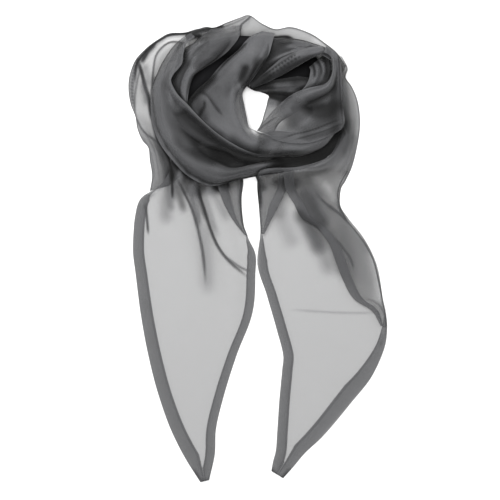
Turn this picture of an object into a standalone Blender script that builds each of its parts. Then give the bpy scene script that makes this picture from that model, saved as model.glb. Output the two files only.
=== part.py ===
"""A chiffon neck scarf with pointed ends, wound into a ring and laid flat.

One long narrow strip of sheer cloth, hemmed all round, goes about two and a half times
round a small hole and ends in two tails. Each stretch that shows is a wall of its own.
A stretch is a grid between two edge curves. It is laid on everything below it, hangs
taut from high place to high place, and then takes its own folds.

Blender units are metres, +Z is up and the tails point to -Y. The tables are in
millimetres, from the middle of the scarf's outline on the surface that it lies on.
"""
from collections import namedtuple

import bmesh
import bpy
import numpy as np

MM = 0.001

# Driving dimensions, in millimetres.
WALL = 1.2
HEM_WIDTH = 12.0
HEM_WIDTH_INNER = 10.0
HEM_RISE = 0.8
SEAM_GAP = 0.5
CORE_HEIGHT = 11.0

# A hem's inner side slopes down over HEM_STEP. Where a stretch is narrow, the hem and
# its slope take at most these shares of the width.
HEM_STEP = 1.0
HEM_SHARE = 0.42
HEM_STEP_SHARE = 0.08

# The pile's height map: square cells over the scarf's outline.
CELL = 1.0
FIELD_LEFT = -145.0
FIELD_NEAR = -250.0
FIELD_COLUMNS = 290
FIELD_ROWS = 500

# How far the cloth keeps from steep places below it, in cells, how many times it is
# pulled taut, and how much it sags each time.
DRAPE_REACH = 3
DRAPE_STEPS = 160
CLOTH_WEIGHT = 0.012

# The hidden layers keep this many cells from steep places. How often a stretch is raised
# to clear the pile, and how finely faces are sampled for the footprint, the top and the
# contact.
CORE_REACH = 4
CLEARING_PASSES = 12
FOOTPRINT_SAMPLES = 9
TOP_SAMPLES = 16
CONTACT_SAMPLES = 10

CLOTH_ROUGHNESS = 0.85

# A section gives the two edges of a stretch, in millimetres.
Section = namedtuple("Section", "left_x left_y right_x right_y")

# A crease is a line along a stretch: its share of the width from the left edge, and its
# height above the cloth below in millimetres, both at even stations from start to end.
Crease = namedtuple("Crease", "across height")

Stretch = namedtuple("Stretch", "name sections creases rows hem_left hem_right")


# ---------------------------------------------------------------- curves and grids

def smooth(stations, values, where):
    """Cubic curve through values at rising stations, read at the places in where."""
    stations = np.asarray(stations, float)
    values = np.asarray(values, float)
    if len(stations) == 1:
        return np.full(np.shape(where), values[0])
    slopes = np.gradient(values, stations)
    cell = np.clip(np.searchsorted(stations, where, side="right") - 1, 0, len(stations) - 2)
    step = stations[cell + 1] - stations[cell]
    share = (where - stations[cell]) / step
    start = (1 + 2 * share) * (1 - share) ** 2 * values[cell]
    end = share ** 2 * (3 - 2 * share) * values[cell + 1]
    bend = share * (1 - share) * step * ((1 - share) * slopes[cell] - share * slopes[cell + 1])
    return start + end + bend


def even(values, where):
    """Curve through values at even stations from 0 to 1."""
    return smooth(np.linspace(0.0, 1.0, len(values)), values, where)


def edge_curves(sections, along):
    """The two edges of a stretch, read at the shares of its length in along."""
    table = np.array(sections, float)
    middle = (table[:, :2] + table[:, 2:]) / 2
    steps = np.hypot(*np.diff(middle, axis=0).T)
    stations = np.concatenate([[0.0], np.cumsum(steps)]) / steps.sum()
    return [smooth(stations, table[:, k], along) for k in range(4)]


def cross_columns(stretch, along, width):
    """Shares of the width where the grid has its columns, the folds' height on each,
    and the extra height of the hems there."""
    span = width[:, None]
    left = np.minimum(stretch.hem_left, HEM_SHARE * span)
    right = np.minimum(stretch.hem_right, HEM_SHARE * span)
    step = np.minimum(HEM_STEP, HEM_STEP_SHARE * span)
    shares, heights, rises = [], [], []
    for crease in stretch.creases:
        inner = even(crease.across, along)[:, None]
        height = even(crease.height, along)[:, None]
        first = crease is stretch.creases[0]
        last = crease is stretch.creases[-1]
        if first and stretch.hem_left:
            for reach, rise in ((0 * left, HEM_RISE), (left - step, HEM_RISE), (left, 0.0)):
                shares.append(reach / span)
                heights.append(height)
                rises.append(np.full_like(height, rise))
        elif last and stretch.hem_right:
            for reach, rise in ((right, 0.0), (right - step, HEM_RISE), (0 * right, HEM_RISE)):
                shares.append(1 - reach / span)
                heights.append(height)
                rises.append(np.full_like(height, rise))
        else:
            shares.append((left + inner * (span - left - right)) / span)
            heights.append(height)
            rises.append(np.zeros_like(height))
    return np.hstack(shares), np.hstack(heights), np.hstack(rises)


def stretch_grid(stretch):
    """Plan positions, fold heights and hem rises of a stretch's grid points."""
    along = np.linspace(0.0, 1.0, stretch.rows + 1)
    left_x, left_y, right_x, right_y = edge_curves(stretch.sections, along)
    width = np.hypot(right_x - left_x, right_y - left_y)
    share, height, rise = cross_columns(stretch, along, width)
    x = left_x[:, None] * (1 - share) + right_x[:, None] * share
    y = left_y[:, None] * (1 - share) + right_y[:, None] * share
    return x, y, height, rise


def grid_normals(points):
    """Unit normals of a grid of points, all turned upwards."""
    along = np.gradient(points, axis=0)
    across = np.gradient(points, axis=1)
    normal = np.cross(along, across)
    normal /= np.linalg.norm(normal, axis=2, keepdims=True)
    return normal * np.sign(normal[..., 2:].mean())


def cloth_wall(x, y, middle, rise):
    """Both faces of the cloth, half a wall to each side of the middle surface."""
    points = np.stack([x, y, middle], axis=2)
    normal = grid_normals(points)
    below = points - normal * WALL / 2
    above = points + normal * (WALL / 2 + rise[..., None])
    return below, above


def grid_faces(rows, columns):
    """Quads of a grid of points, given as indices, row by row."""
    index = np.arange(rows * columns).reshape(rows, columns)
    corners = (index[:-1, :-1], index[1:, :-1], index[1:, 1:], index[:-1, 1:])
    return np.stack([c.ravel() for c in corners], axis=1)


def shell_faces(rows, columns):
    """Quads of a closed wall: its lower face, its upper face and the rim between."""
    count = rows * columns
    lower = grid_faces(rows, columns)
    index = np.arange(count).reshape(rows, columns)
    rim = np.concatenate([index[0, :-1], index[:-1, -1], index[-1, :0:-1], index[:0:-1, 0]])
    after = np.roll(rim, -1)
    side = np.stack([rim, after, after + count, rim + count], axis=1)
    return np.vstack([lower, lower[:, ::-1] + count, side])


# ---------------------------------------------------------------- the pile

class Pile:
    """Height of everything laid so far, in square cells."""

    def __init__(self):
        self.top = np.zeros((FIELD_ROWS, FIELD_COLUMNS))

    def cells(self, x, y):
        column = np.clip(np.rint((x - FIELD_LEFT) / CELL).astype(int), 0, FIELD_COLUMNS - 1)
        row = np.clip(np.rint((y - FIELD_NEAR) / CELL).astype(int), 0, FIELD_ROWS - 1)
        return row, column

    def read(self, field, x, y):
        """A field's value between its cells."""
        column = np.clip((x - FIELD_LEFT) / CELL, 0, FIELD_COLUMNS - 1.001)
        row = np.clip((y - FIELD_NEAR) / CELL, 0, FIELD_ROWS - 1.001)
        i, j = row.astype(int), column.astype(int)
        a, b = row - i, column - j
        near = field[i, j] * (1 - b) + field[i, j + 1] * b
        far = field[i + 1, j] * (1 - b) + field[i + 1, j + 1] * b
        return near * (1 - a) + far * a

    def grown(self, reach):
        """The top, spread sideways by a number of cells."""
        field = self.top.copy()
        for _ in range(reach):
            wide = np.maximum(field[:, 1:-1], np.maximum(field[:, :-2], field[:, 2:]))
            field[:, 1:-1] = wide
            tall = np.maximum(field[1:-1], np.maximum(field[:-2], field[2:]))
            field[1:-1] = tall
        return field

    def floor(self, reach):
        """Lowest place of the middle surface of cloth that is laid on the pile."""
        under = self.grown(reach)
        return np.where(under > 0, under + SEAM_GAP, 0.0) + WALL / 2

    def drape(self, x, y):
        """Middle surface of limp cloth over the grid's footprint: taut between the high
        places and sagging under its weight, with free edges."""
        inside = np.zeros_like(self.top, bool)
        fine = np.linspace(0, 1, FOOTPRINT_SAMPLES)
        for a in fine:
            for b in fine:
                px = (x[:-1, :-1] * (1 - b) + x[:-1, 1:] * b) * (1 - a)
                px = px + (x[1:, :-1] * (1 - b) + x[1:, 1:] * b) * a
                py = (y[:-1, :-1] * (1 - b) + y[:-1, 1:] * b) * (1 - a)
                py = py + (y[1:, :-1] * (1 - b) + y[1:, 1:] * b) * a
                inside[self.cells(px, py)] = True
        floor = self.floor(DRAPE_REACH)
        height = floor.copy()
        weight = inside.astype(float)
        count = sum(np.roll(weight, s, axis) for s in (-1, 1) for axis in (0, 1))
        count = np.maximum(count, 1)
        for _ in range(DRAPE_STEPS):
            held = height * weight
            pull = sum(np.roll(held, s, axis) for s in (-1, 1) for axis in (0, 1)) / count
            height = np.where(inside, np.maximum(floor, pull - CLOTH_WEIGHT), floor)
        return height

    def spread(self, points, faces, parts):
        """Points spread over each face's two triangles, and the face of each."""
        shares = [(i / parts, j / parts) for i in range(parts + 1) for j in range(parts + 1 - i)]
        share = np.array(shares)
        corner = points[faces]
        spread = []
        for one, two in ((1, 2), (2, 3)):
            a, b, c = corner[:, 0, None], corner[:, one, None], corner[:, two, None]
            spread.append(a + (b - a) * share[None, :, :1] + (c - a) * share[None, :, 1:])
        return np.concatenate(spread, axis=1)

    def add(self, points, faces):
        """Raise the top to a new solid."""
        spread = self.spread(points, faces, TOP_SAMPLES).reshape(-1, 3)
        row, column = self.cells(spread[:, 0], spread[:, 1])
        np.maximum.at(self.top, (row, column), spread[:, 2])

    def shortfall(self, points, faces):
        """How far each point must rise for its faces to clear the pile."""
        under = self.grown(1)
        spread = self.spread(points, faces, CONTACT_SAMPLES)
        row, column = self.cells(spread[..., 0], spread[..., 1])
        need = np.where(under[row, column] > 0, under[row, column] + SEAM_GAP, 0.0)
        short = (need - spread[..., 2]).max(axis=1)
        lift = np.zeros(len(points))
        for corner in range(4):
            np.maximum.at(lift, faces[:, corner], short)
        return lift


# ---------------------------------------------------------------- objects

def make_material(name, colour, roughness):
    material = bpy.data.materials.new(name)
    material.use_nodes = True
    shader = material.node_tree.nodes["Principled BSDF"]
    shader.inputs["Base Color"].default_value = (*colour, 1.0)
    shader.inputs["Roughness"].default_value = roughness
    shader.inputs["Metallic"].default_value = 0.0
    return material


def make_object(name, points, faces, colour):
    """A closed solid of triangles, from points in millimetres."""
    mesh = bpy.data.meshes.new(name)
    mesh.from_pydata((points * MM).tolist(), [], faces.tolist())
    shape = bmesh.new()
    shape.from_mesh(mesh)
    bmesh.ops.triangulate(shape, faces=shape.faces[:], quad_method="FIXED")
    if shape.calc_volume(signed=True) < 0:
        bmesh.ops.reverse_faces(shape, faces=shape.faces[:])
    shape.to_mesh(mesh)
    shape.free()
    mesh.shade_smooth()
    mesh.materials.append(make_material(name + "_cloth", colour, CLOTH_ROUGHNESS))
    solid = bpy.data.objects.new(name, mesh)
    bpy.context.scene.collection.objects.link(solid)
    return solid


def lay(stretch, pile, colour):
    """Lay one stretch on the pile and make its wall. Wherever a face would touch what is
    below it, its corners rise until it clears."""
    x, y, height, rise = stretch_grid(stretch)
    rest = pile.drape(x, y)
    lowest = pile.read(pile.floor(DRAPE_REACH), x, y)
    middle = np.maximum(pile.read(rest, x, y) + height, lowest)
    rows, columns = x.shape
    faces = shell_faces(rows, columns)
    lower = faces[faces.max(axis=1) < rows * columns]
    for _ in range(CLEARING_PASSES):
        below, above = cloth_wall(x, y, middle, rise)
        lift = pile.shortfall(below.reshape(-1, 3), lower)
        if lift.max() <= 0:
            break
        middle = middle + np.maximum(lift, 0).reshape(rows, columns)
    points = np.vstack([below.reshape(-1, 3), above.reshape(-1, 3)])
    pile.add(points, faces)
    return make_object(stretch.name, points, faces, colour)


# ---------------------------------------------------------------- the stretches

# Sheer outer loop at the ring's left, from its top end round to the tail.
LOOP_LEFT = Stretch(
    "loop_left",
    (
        Section(-46, 220.7, -50, 215.5),
        Section(-61, 219.4, -60, 209),
        Section(-73, 216, -68, 199.5),
        Section(-88, 215.2, -75, 190),
        Section(-99.4, 209.3, -88, 186.5),
        Section(-112, 200, -93, 172.5),
        Section(-122.5, 188.5, -96, 158.5),
        Section(-128.5, 172.5, -97, 144.5),
        Section(-129.5, 158.5, -96, 130.5),
        Section(-127.3, 144.5, -92, 118.5),
        Section(-122.5, 131.5, -86, 106.5),
        Section(-120.5, 119.5, -82, 96.5),
        Section(-115.5, 108, -79, 88.5),
        Section(-109.5, 100.5, -76, 80.5),
        Section(-108.2, 88.5, -75, 75.5),
        Section(-106, 74.5, -80, 70.5),
        Section(-108, 57.5, -90, 62.5),
    ),
    (
        Crease((0.0,), (0.0,)),
        Crease((0.14,), (1.5, 3.0, 2.0, 0.8, 1.0)),
        Crease((0.3,), (0.5, 0.6, 0.3, 0.3, 0.5)),
        Crease((0.4, 0.42, 0.6, 0.55, 0.5), (1.0, 2.0, 3.0, 2.5, 2.0)),
        Crease((0.7, 0.7, 0.8, 0.75, 0.7), (0.3, 0.3, 0.3, 0.5, 0.5)),
        Crease((1.0,), (0.0,)),
    ),
    rows=28, hem_left=0.0, hem_right=0.0,
)

# Sheer loop across the ring's top, its lower part hidden.
TOP_BACK = Stretch(
    "top_back",
    (
        Section(-73, 213, -66, 192.5),
        Section(-58, 220, -54, 196.5),
        Section(-52, 221.6, -49, 197),
        Section(-46, 220.8, -43, 197.5),
        Section(-30, 226.5, -28, 196.5),
        Section(-18, 231, -15, 194.5),
        Section(-10, 233.5, -6, 194.5),
        Section(4, 225, 7, 194.5),
        Section(17, 219.5, 20, 194.5),
        Section(32, 221.5, 34, 193.5),
        Section(44, 218.5, 46, 191.5),
        Section(57, 212.5, 56, 188.5),
        Section(68, 204.5, 63, 182.5),
        Section(77, 197.5, 69, 176.5),
        Section(88, 182.5, 78, 164.5),
    ),
    (
        Crease((0.0,), (0.0, 0.0, 1.0, 0.0, 0.0, 0.0, 0.0)),
        Crease((0.18,), (1.0, 1.5, 4.0, 1.0, 2.0, 2.0, 1.0)),
        Crease((0.4,), (0.5, 0.5, 3.0, 0.5, 1.0, 1.0, 0.5)),
        Crease((0.65,), (1.0, 3.0, 3.0, 1.0, 2.5, 2.5, 1.0)),
        Crease((1.0,), (0.0,)),
    ),
    rows=22, hem_left=0.0, hem_right=0.0,
)

# Left tail, from its pointed tip up to where it goes under the front band.
TAIL_LEFT = Stretch(
    "tail_left",
    (
        Section(-57.5, -233.5, -49, -231.5),
        Section(-72.2, -210.5, -43.4, -206.5),
        Section(-86, -183.5, -42.2, -181.5),
        Section(-99.4, -146.5, -34.6, -148.5),
        Section(-109.7, -106.5, -21.4, -106.5),
        Section(-117.1, -66.5, -5.9, -65.5),
        Section(-122.6, -23.5, -2.7, -26.5),
        Section(-125, -3.5, -3.2, -3.5),
        Section(-124.9, 8.5, -9, 8.5),
        Section(-124.2, 20.5, -13.5, 20.5),
        Section(-123.2, 30.5, -15.4, 32.5),
        Section(-116.8, 50.5, -16.3, 51.5),
        Section(-100, 61.5, -14.8, 68.5),
        Section(-89, 76.5, -22, 88.5),
        Section(-86, 98.5, -36, 103.5),
    ),
    (
        Crease((0.0,), (0.0, 0.0, 0.0, 0.0, 0.0, 1.0)),
        Crease((0.12, 0.12, 0.12, 0.12, 0.13, 0.05), (0.0, 0.0, 0.0, 0.0, 0.3, 0.5)),
        Crease((0.28, 0.28, 0.28, 0.28, 0.27, 0.12), (0.0, 0.0, 0.0, 0.0, 2.5, 5.0)),
        Crease((0.42, 0.42, 0.42, 0.45, 0.4, 0.2), (0.0, 0.0, 0.0, 0.0, 0.3, 1.0)),
        Crease((0.55, 0.55, 0.55, 0.6, 0.54, 0.3), (0.0, 0.0, 0.0, 1.5, 5.0, 6.0)),
        Crease((0.7, 0.7, 0.7, 0.74, 0.61, 0.4), (0.0, 0.0, 0.0, 0.0, 0.8, 1.0)),
        Crease((0.85, 0.85, 0.85, 0.88, 0.68, 0.52), (0.0, 0.0, 0.0, 2.0, 4.5, 5.0)),
        Crease((0.93, 0.93, 0.93, 0.95, 0.84, 0.75), (0.0, 0.0, 0.0, 0.0, 0.3, 0.5)),
        Crease((1.0,), (0.0,)),
    ),
    rows=30, hem_left=HEM_WIDTH, hem_right=HEM_WIDTH_INNER,
)

# Margin of the left tail that is folded back on it under the ring.
TAIL_LEFT_TURNOVER = Stretch(
    "tail_left_turnover",
    (
        Section(-14, 14.5, -10.5, 12.5),
        Section(-23.5, 26.5, -15.2, 25.5),
        Section(-31, 38.5, -16.5, 36.5),
        Section(-37.5, 53.5, -17, 52.5),
        Section(-42, 68.5, -15.2, 67.5),
        Section(-45, 80.5, -16, 83.5),
    ),
    (
        Crease((0.0,), (0.0,)),
        Crease((0.5,), (0.3, 0.6, 1.0)),
        Crease((1.0,), (0.0,)),
    ),
    rows=10, hem_left=0.0, hem_right=0.0,
)

# Layers seen inside the ring, right of the hole: a soft roll over a flatter ply.
INNER_BACK = Stretch(
    "inner_back",
    (
        Section(-14, 164, 40, 172.5),
        Section(-4, 158, 60, 168.5),
        Section(4, 156, 72, 160.5),
        Section(10.6, 152.6, 70, 150.5),
        Section(9.6, 148.4, 60, 146.6),
        Section(8.6, 143.5, 50, 142.5),
        Section(6, 134.5, 34, 133.5),
        Section(3.8, 126.5, 22, 126),
        Section(-0.5, 118, 14, 112.5),
    ),
    (
        Crease((0.0,), (-6.0, -2.0, -5.0, -3.0, -3.0, -3.0)),
        Crease((0.15,), (-4.0, 3.0, -4.0, 0.0, 0.0, 0.0)),
        Crease((0.4,), (-4.0, 5.0, -4.0, 1.0, 1.0, 0.0)),
        Crease((0.7,), (-4.0, 4.0, -3.0, 1.0, 0.0, 0.0)),
        Crease((1.0,), (-4.0, 0.0, -3.0, 0.0, 0.0, 0.0)),
    ),
    rows=11, hem_left=0.0, hem_right=0.0,
)

# Three curved pleats at the pocket's right end.
INNER_PLEATS = Stretch(
    "inner_pleats",
    (
        Section(67, 195, 51, 181.5),
        Section(71.5, 190.5, 52.5, 178.5),
        Section(74, 183.5, 52, 174.5),
        Section(74, 175.5, 51, 169.5),
        Section(71, 167.5, 48, 163.5),
        Section(64, 161.5, 44, 158.5),
    ),
    (
        Crease((0.0,), (0.0,)),
        Crease((0.12,), (2.5, 2.0, 1.2, 0.5)),
        Crease((0.25,), (0.3,)),
        Crease((0.4,), (3.0, 2.5, 1.2, 0.5)),
        Crease((0.54,), (0.3,)),
        Crease((0.68,), (3.0, 2.0, 1.0, 0.5)),
        Crease((0.84,), (0.3,)),
        Crease((1.0,), (0.5,)),
    ),
    rows=8, hem_left=0.0, hem_right=0.0,
)

# Band across the ring's top right, running down towards the hole.
BAND_TOP = Stretch(
    "band_top",
    (
        Section(0, 212.5, -9, 162),
        Section(12, 210.5, 4, 168.5),
        Section(28, 210.5, 22, 182.5),
        Section(42, 209, 39, 190.5),
        Section(56, 205, 54, 195.5),
        Section(68, 200.5, 64, 193.5),
        Section(78, 193.5, 72, 188.5),
    ),
    (
        Crease((0.0,), (-12.0, -9.0, -9.0, -9.0)),
        Crease((0.14,), (-1.0, 1.0, 1.0, -2.0)),
        Crease((0.36,), (-1.0, -4.0, 1.0, 1.0)),
        Crease((0.62,), (2.0, 2.0, 5.0, 2.0)),
        Crease((0.84,), (0.0, 0.0, 3.0, 1.0)),
        Crease((1.0,), (-2.0, -2.0, 2.0, 1.0)),
    ),
    rows=12, hem_left=0.0, hem_right=0.0,
)

# Rolled, stitched hem above the pocket.
HEM_ROLL = Stretch(
    "hem_roll",
    (
        Section(-8, 163.5, -6, 160.5),
        Section(4, 173.5, 8, 165.5),
        Section(14, 182.5, 24, 173.5),
        Section(24, 190.5, 40, 182.5),
        Section(38, 196.5, 52, 189.5),
        Section(54, 201.5, 63, 194.5),
        Section(64, 202.5, 68, 196.5),
    ),
    (
        Crease((0.0,), (-1.0,)),
        Crease((0.15,), (0.0, 3.0, 5.0, 3.0)),
        Crease((0.45,), (0.0, 5.0, 8.0, 5.0)),
        Crease((0.8,), (0.0, 3.0, 7.0, 4.0)),
        Crease((1.0,), (-1.0, 0.0, 2.0, 1.0)),
    ),
    rows=12, hem_left=0.0, hem_right=0.0,
)

# Strand from the ring's top, round the left of the hole, to the bottom.
STRAND_CENTRE = Stretch(
    "strand_centre",
    (
        Section(4, 217.5, 17, 215),
        Section(-8, 211.5, 14.5, 206.5),
        Section(-20, 198.5, 11, 194.5),
        Section(-36, 184.5, 3, 181.5),
        Section(-50, 168.5, -6, 168.5),
        Section(-64, 155.5, -15.6, 154.5),
        Section(-72, 142.5, -13.8, 143.5),
        Section(-63, 128.5, -11.5, 131.5),
        Section(-48, 115.5, -9, 121.5),
        Section(-31, 103.5, -3, 118),
        Section(-12, 94.5, 8, 113.5),
        Section(8, 91.5, 22, 109.5),
    ),
    (
        Crease((0.0,), (-14.0, -8.0, -8.0, -8.0, -6.0, -2.0, -2.0, -2.0)),
        Crease((0.06,), (-12.0, 0.0, 0.0, 0.0, 0.0, 1.0, 1.0, 1.0)),
        Crease((0.22,), (-10.0, 8.0, 7.0, 6.0, 5.0, 5.0, 4.0, 2.0)),
        Crease((0.45, 0.45, 0.5, 0.5, 0.5), (-9.0, 10.0, 11.0, 9.0, 8.0, 8.0, 6.0, 3.0)),
        Crease((0.7, 0.72, 0.75, 0.75, 0.72), (-10.0, 8.0, 8.0, 6.0, 6.0, 6.0, 5.0, 3.0)),
        Crease((0.92,), (-11.0, 3.0, 5.0, 5.0, 5.0, 5.0, 4.0, 2.0)),
        Crease((1.0,), (-14.0, -5.0, -4.0, -3.0, 0.0, 2.0, 2.0, 0.0)),
    ),
    rows=20, hem_left=0.0, hem_right=0.0,
)

# Strand at the ring's upper left.
SHOULDER_LEFT = Stretch(
    "shoulder_left",
    (
        Section(-47, 219.5, -17, 223.5),
        Section(-56, 212.5, -19, 211.5),
        Section(-62, 207, -27, 200.5),
        Section(-76, 198, -41, 188.5),
        Section(-83, 181.5, -55, 179.5),
        Section(-86, 166.5, -64, 172.5),
        Section(-86, 152.5, -69, 158.5),
        Section(-80, 138.5, -71, 143.5),
    ),
    (
        Crease((0.0,), (-6.0, -8.0, -8.0, -8.0, -6.0)),
        Crease((0.1, 0.2, 0.3, 0.32, 0.3), (-3.0, -2.0, -3.0, -4.0, -2.0)),
        Crease((0.3, 0.4, 0.5, 0.52, 0.5), (-2.0, 5.0, 4.0, 3.0, 1.0)),
        Crease((0.55, 0.62, 0.7, 0.72, 0.7), (-2.0, 7.0, 8.0, 6.0, 1.0)),
        Crease((0.85, 0.85, 0.9, 0.9, 0.9), (-4.0, 2.0, 3.0, 3.0, 0.0)),
        Crease((1.0,), (-4.0, -6.0, -6.0, -6.0, -4.0)),
    ),
    rows=14, hem_left=0.0, hem_right=0.0,
)

# Front band round the ring's left and bottom, its inner edge hemmed.
BAND_FRONT = Stretch(
    "band_front",
    (
        Section(-67, 215.5, -63, 211.5),
        Section(-77, 209.5, -71, 205.5),
        Section(-87, 199.5, -74.5, 195.5),
        Section(-95.5, 186.5, -76, 185),
        Section(-101.5, 173.5, -85, 173.5),
        Section(-106.5, 162.5, -87, 168),
        Section(-107.5, 148.5, -82, 156.5),
        Section(-106, 126.5, -70, 143.5),
        Section(-99, 106.5, -56, 128.5),
        Section(-86, 88.5, -40, 114.5),
        Section(-68, 71, -23, 103.5),
        Section(-46, 62.5, -8, 96.5),
        Section(-22, 68, 4, 94),
        Section(-2, 72, 22, 96),
        Section(27, 76.5, 42, 99.5),
        Section(57, 83.5, 60, 108.5),
        Section(77, 98.5, 70, 118.5),
        Section(88, 114.5, 79, 130.5),
    ),
    (
        Crease((0.0,), (-14.0, -6.0, -7.0, -7.0, -8.0, -9.0, -10.0, -10.0)),
        Crease((0.08,), (-12.0, -1.0, -1.0, 0.0, 1.0, -1.0, -8.0, -10.0)),
        Crease(
            (0.3, 0.3, 0.3, 0.24, 0.26, 0.36, 0.4, 0.4),
            (-9.0, 3.0, 5.0, 7.0, 9.0, 7.0, -8.0, -10.0),
        ),
        Crease(
            (0.45, 0.45, 0.44, 0.46, 0.52, 0.64, 0.6, 0.6),
            (-9.0, 3.0, 4.0, 4.0, 7.0, 3.0, -8.0, -10.0),
        ),
        Crease(
            (0.6, 0.6, 0.64, 0.68, 0.66, 0.8, 0.8, 0.8),
            (-9.0, 3.0, 1.0, -5.0, -12.0, -6.0, -8.0, -10.0),
        ),
        Crease(
            (0.88, 0.88, 0.88, 0.9, 0.88, 0.92, 0.9, 0.9),
            (-9.0, 2.0, -1.0, -9.0, -12.0, -6.0, -8.0, -10.0),
        ),
        Crease((1.0,), (-11.0, 2.0, 2.0, 1.0, 1.0, 0.0, -8.0, -10.0)),
    ),
    rows=36, hem_left=0.0, hem_right=0.0,
)

# Right outer loop and tail, from the ring's top round to the pointed tip.
TAIL_RIGHT = Stretch(
    "tail_right",
    (
        Section(75, 196.5, 84, 191.5),
        Section(79, 182.5, 89.5, 179.5),
        Section(80, 171.5, 87.5, 171),
        Section(80, 163, 93.4, 162.5),
        Section(80, 152.5, 98.4, 151.5),
        Section(80, 138.5, 101.4, 137.5),
        Section(81, 123.5, 101.9, 121.5),
        Section(79, 105.5, 99.2, 102.5),
        Section(68, 90.5, 94.3, 82.5),
        Section(42, 82, 87.9, 68.5),
        Section(2, 77, 82.4, 56.5),
        Section(-0.6, 67.5, 81.9, 45.5),
        Section(0.8, 41.5, 89.3, 31.5),
        Section(2.4, 16.5, 105, 11.5),
        Section(-0.7, -13.5, 117.8, -13.5),
        Section(8.8, -46.5, 125, -51.5),
        Section(18.9, -81.5, 129, -79.5),
        Section(25.2, -106.5, 126, -100.5),
        Section(24.2, -121.5, 115.6, -124.5),
        Section(21.4, -151.5, 92, -155.5),
        Section(19.4, -181.5, 64, -188.5),
        Section(17.6, -203.5, 45, -206.5),
        Section(15, -213.5, 35, -218.5),
        Section(13.5, -222.5, 25, -229.5),
    ),
    (
        Crease((0.0,), (0.0, 1.0, 2.0, 1.0, 0.0, 0.0, 0.0, 0.0, 0.0)),
        Crease((0.1, 0.1, 0.06), (2.0, 3.0, 4.0, 2.0, 0.0, 0.0, 0.0, 0.0, 0.0)),
        Crease((0.3, 0.35, 0.25, 0.25, 0.25), (3.0, 4.0, 3.0, 2.0, 0.0, 0.0, 0.0, 0.0, 0.0)),
        Crease((0.5, 0.5, 0.5, 0.5, 0.5), (3.0, 3.0, 2.0, 0.5, 0.0, 0.0, 0.0, 0.0, 0.0)),
        Crease((0.75, 0.75, 0.65, 0.7, 0.75), (1.0, 1.0, 2.0, 1.0, 0.0, 0.0, 0.0, 0.0, 0.0)),
        Crease((0.92, 0.92, 0.85), (-2.0, -3.0, 0.0, 0.0, 0.0, 0.0, 0.0, 0.0, 0.0)),
        Crease((1.0,), (-9.0, -12.0, -9.0, 0.0, 0.0, 0.0, 0.0, 0.0, 0.0)),
    ),
    rows=46, hem_left=HEM_WIDTH_INNER, hem_right=HEM_WIDTH,
)

# Left margin of the right tail, folded back on it under the ring.
TAIL_RIGHT_TURNOVER_LEFT = Stretch(
    "tail_right_turnover_left",
    (
        Section(-2.4, 72, 30, 76.5),
        Section(-0.3, 66, 30.5, 67.5),
        Section(1.2, 57, 28, 58.5),
        Section(1.5, 45.5, 21, 43.5),
        Section(2, 30.5, 13.5, 29.5),
        Section(3, 15.5, 6, 14.5),
    ),
    (
        Crease((0.0,), (0.0,)),
        Crease((0.5,), (1.0, 0.6, 0.3)),
        Crease((1.0,), (0.0,)),
    ),
    rows=8, hem_left=0.0, hem_right=0.0,
)

# Right margin of the right tail, folded back on it down to the tail's widest place.
TAIL_RIGHT_TURNOVER_RIGHT = Stretch(
    "tail_right_turnover_right",
    (
        Section(26, 78.5, 90, 77.5),
        Section(26, 69.5, 84, 67.5),
        Section(28, 58.5, 80.5, 57.5),
        Section(36, 44.5, 81.5, 44.5),
        Section(43, 31.5, 88, 30.5),
        Section(60, 19.5, 99, 16.5),
        Section(70, 6.5, 107, 5.5),
        Section(78, -13.5, 116.5, -13.5),
        Section(85, -31.5, 121, -32.5),
        Section(97, -51.5, 125, -52.5),
        Section(114, -62.5, 127.5, -64.5),
        Section(122.5, -77, 128, -78.5),
    ),
    (
        Crease((0.0,), (0.0,)),
        Crease((0.3,), (1.0, 1.0, 0.8, 0.5, 0.3)),
        Crease((0.5,), (3.0, 3.5, 2.0, 1.0, 0.3)),
        Crease((0.7,), (1.0, 1.0, 0.8, 0.5, 0.3)),
        Crease((1.0,), (0.0,)),
    ),
    rows=16, hem_left=0.0, hem_right=0.0,
)

# Panel right of the hole, with a rounded rim and a hemmed lower edge.
PANEL_RIGHT = Stretch(
    "panel_right",
    (
        Section(66, 196.5, 68, 202.5),
        Section(73, 191.5, 79, 194.5),
        Section(74.5, 182.5, 83, 182.5),
        Section(73, 172.5, 84, 164.5),
        Section(66, 164.5, 85, 143.5),
        Section(50, 160.5, 86, 123.5),
        Section(35, 154.5, 69, 111.5),
        Section(23, 145.5, 51, 105.5),
        Section(13, 135.5, 32, 105.5),
        Section(4, 124.5, 17, 109),
        Section(-1, 118, 5, 114.5),
    ),
    (
        Crease((0.0,), (-10.0, -6.0, -6.0, -6.0, -6.0, -5.0, -3.0)),
        Crease((0.06,), (-8.0, 3.0, 5.0, 4.0, 2.0, 0.0, 0.0)),
        Crease((0.14,), (-6.0, 8.0, 9.0, 8.0, 5.0, 3.0, 1.0)),
        Crease((0.4, 0.4, 0.4, 0.34, 0.4), (-6.0, 3.0, 0.0, -6.0, 4.0, 3.0, 1.0)),
        Crease((0.64,), (-7.0, 2.0, 0.0, -1.0, 4.0, 4.0, 1.0)),
        Crease((0.86,), (-9.0, 1.0, 1.0, 2.0, 3.0, 2.0, 0.5)),
        Crease((1.0,), (-10.0, -2.0, 0.0, 0.0, 1.0, 1.0, 0.0)),
    ),
    rows=22, hem_left=0.0, hem_right=0.0,
)

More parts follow.
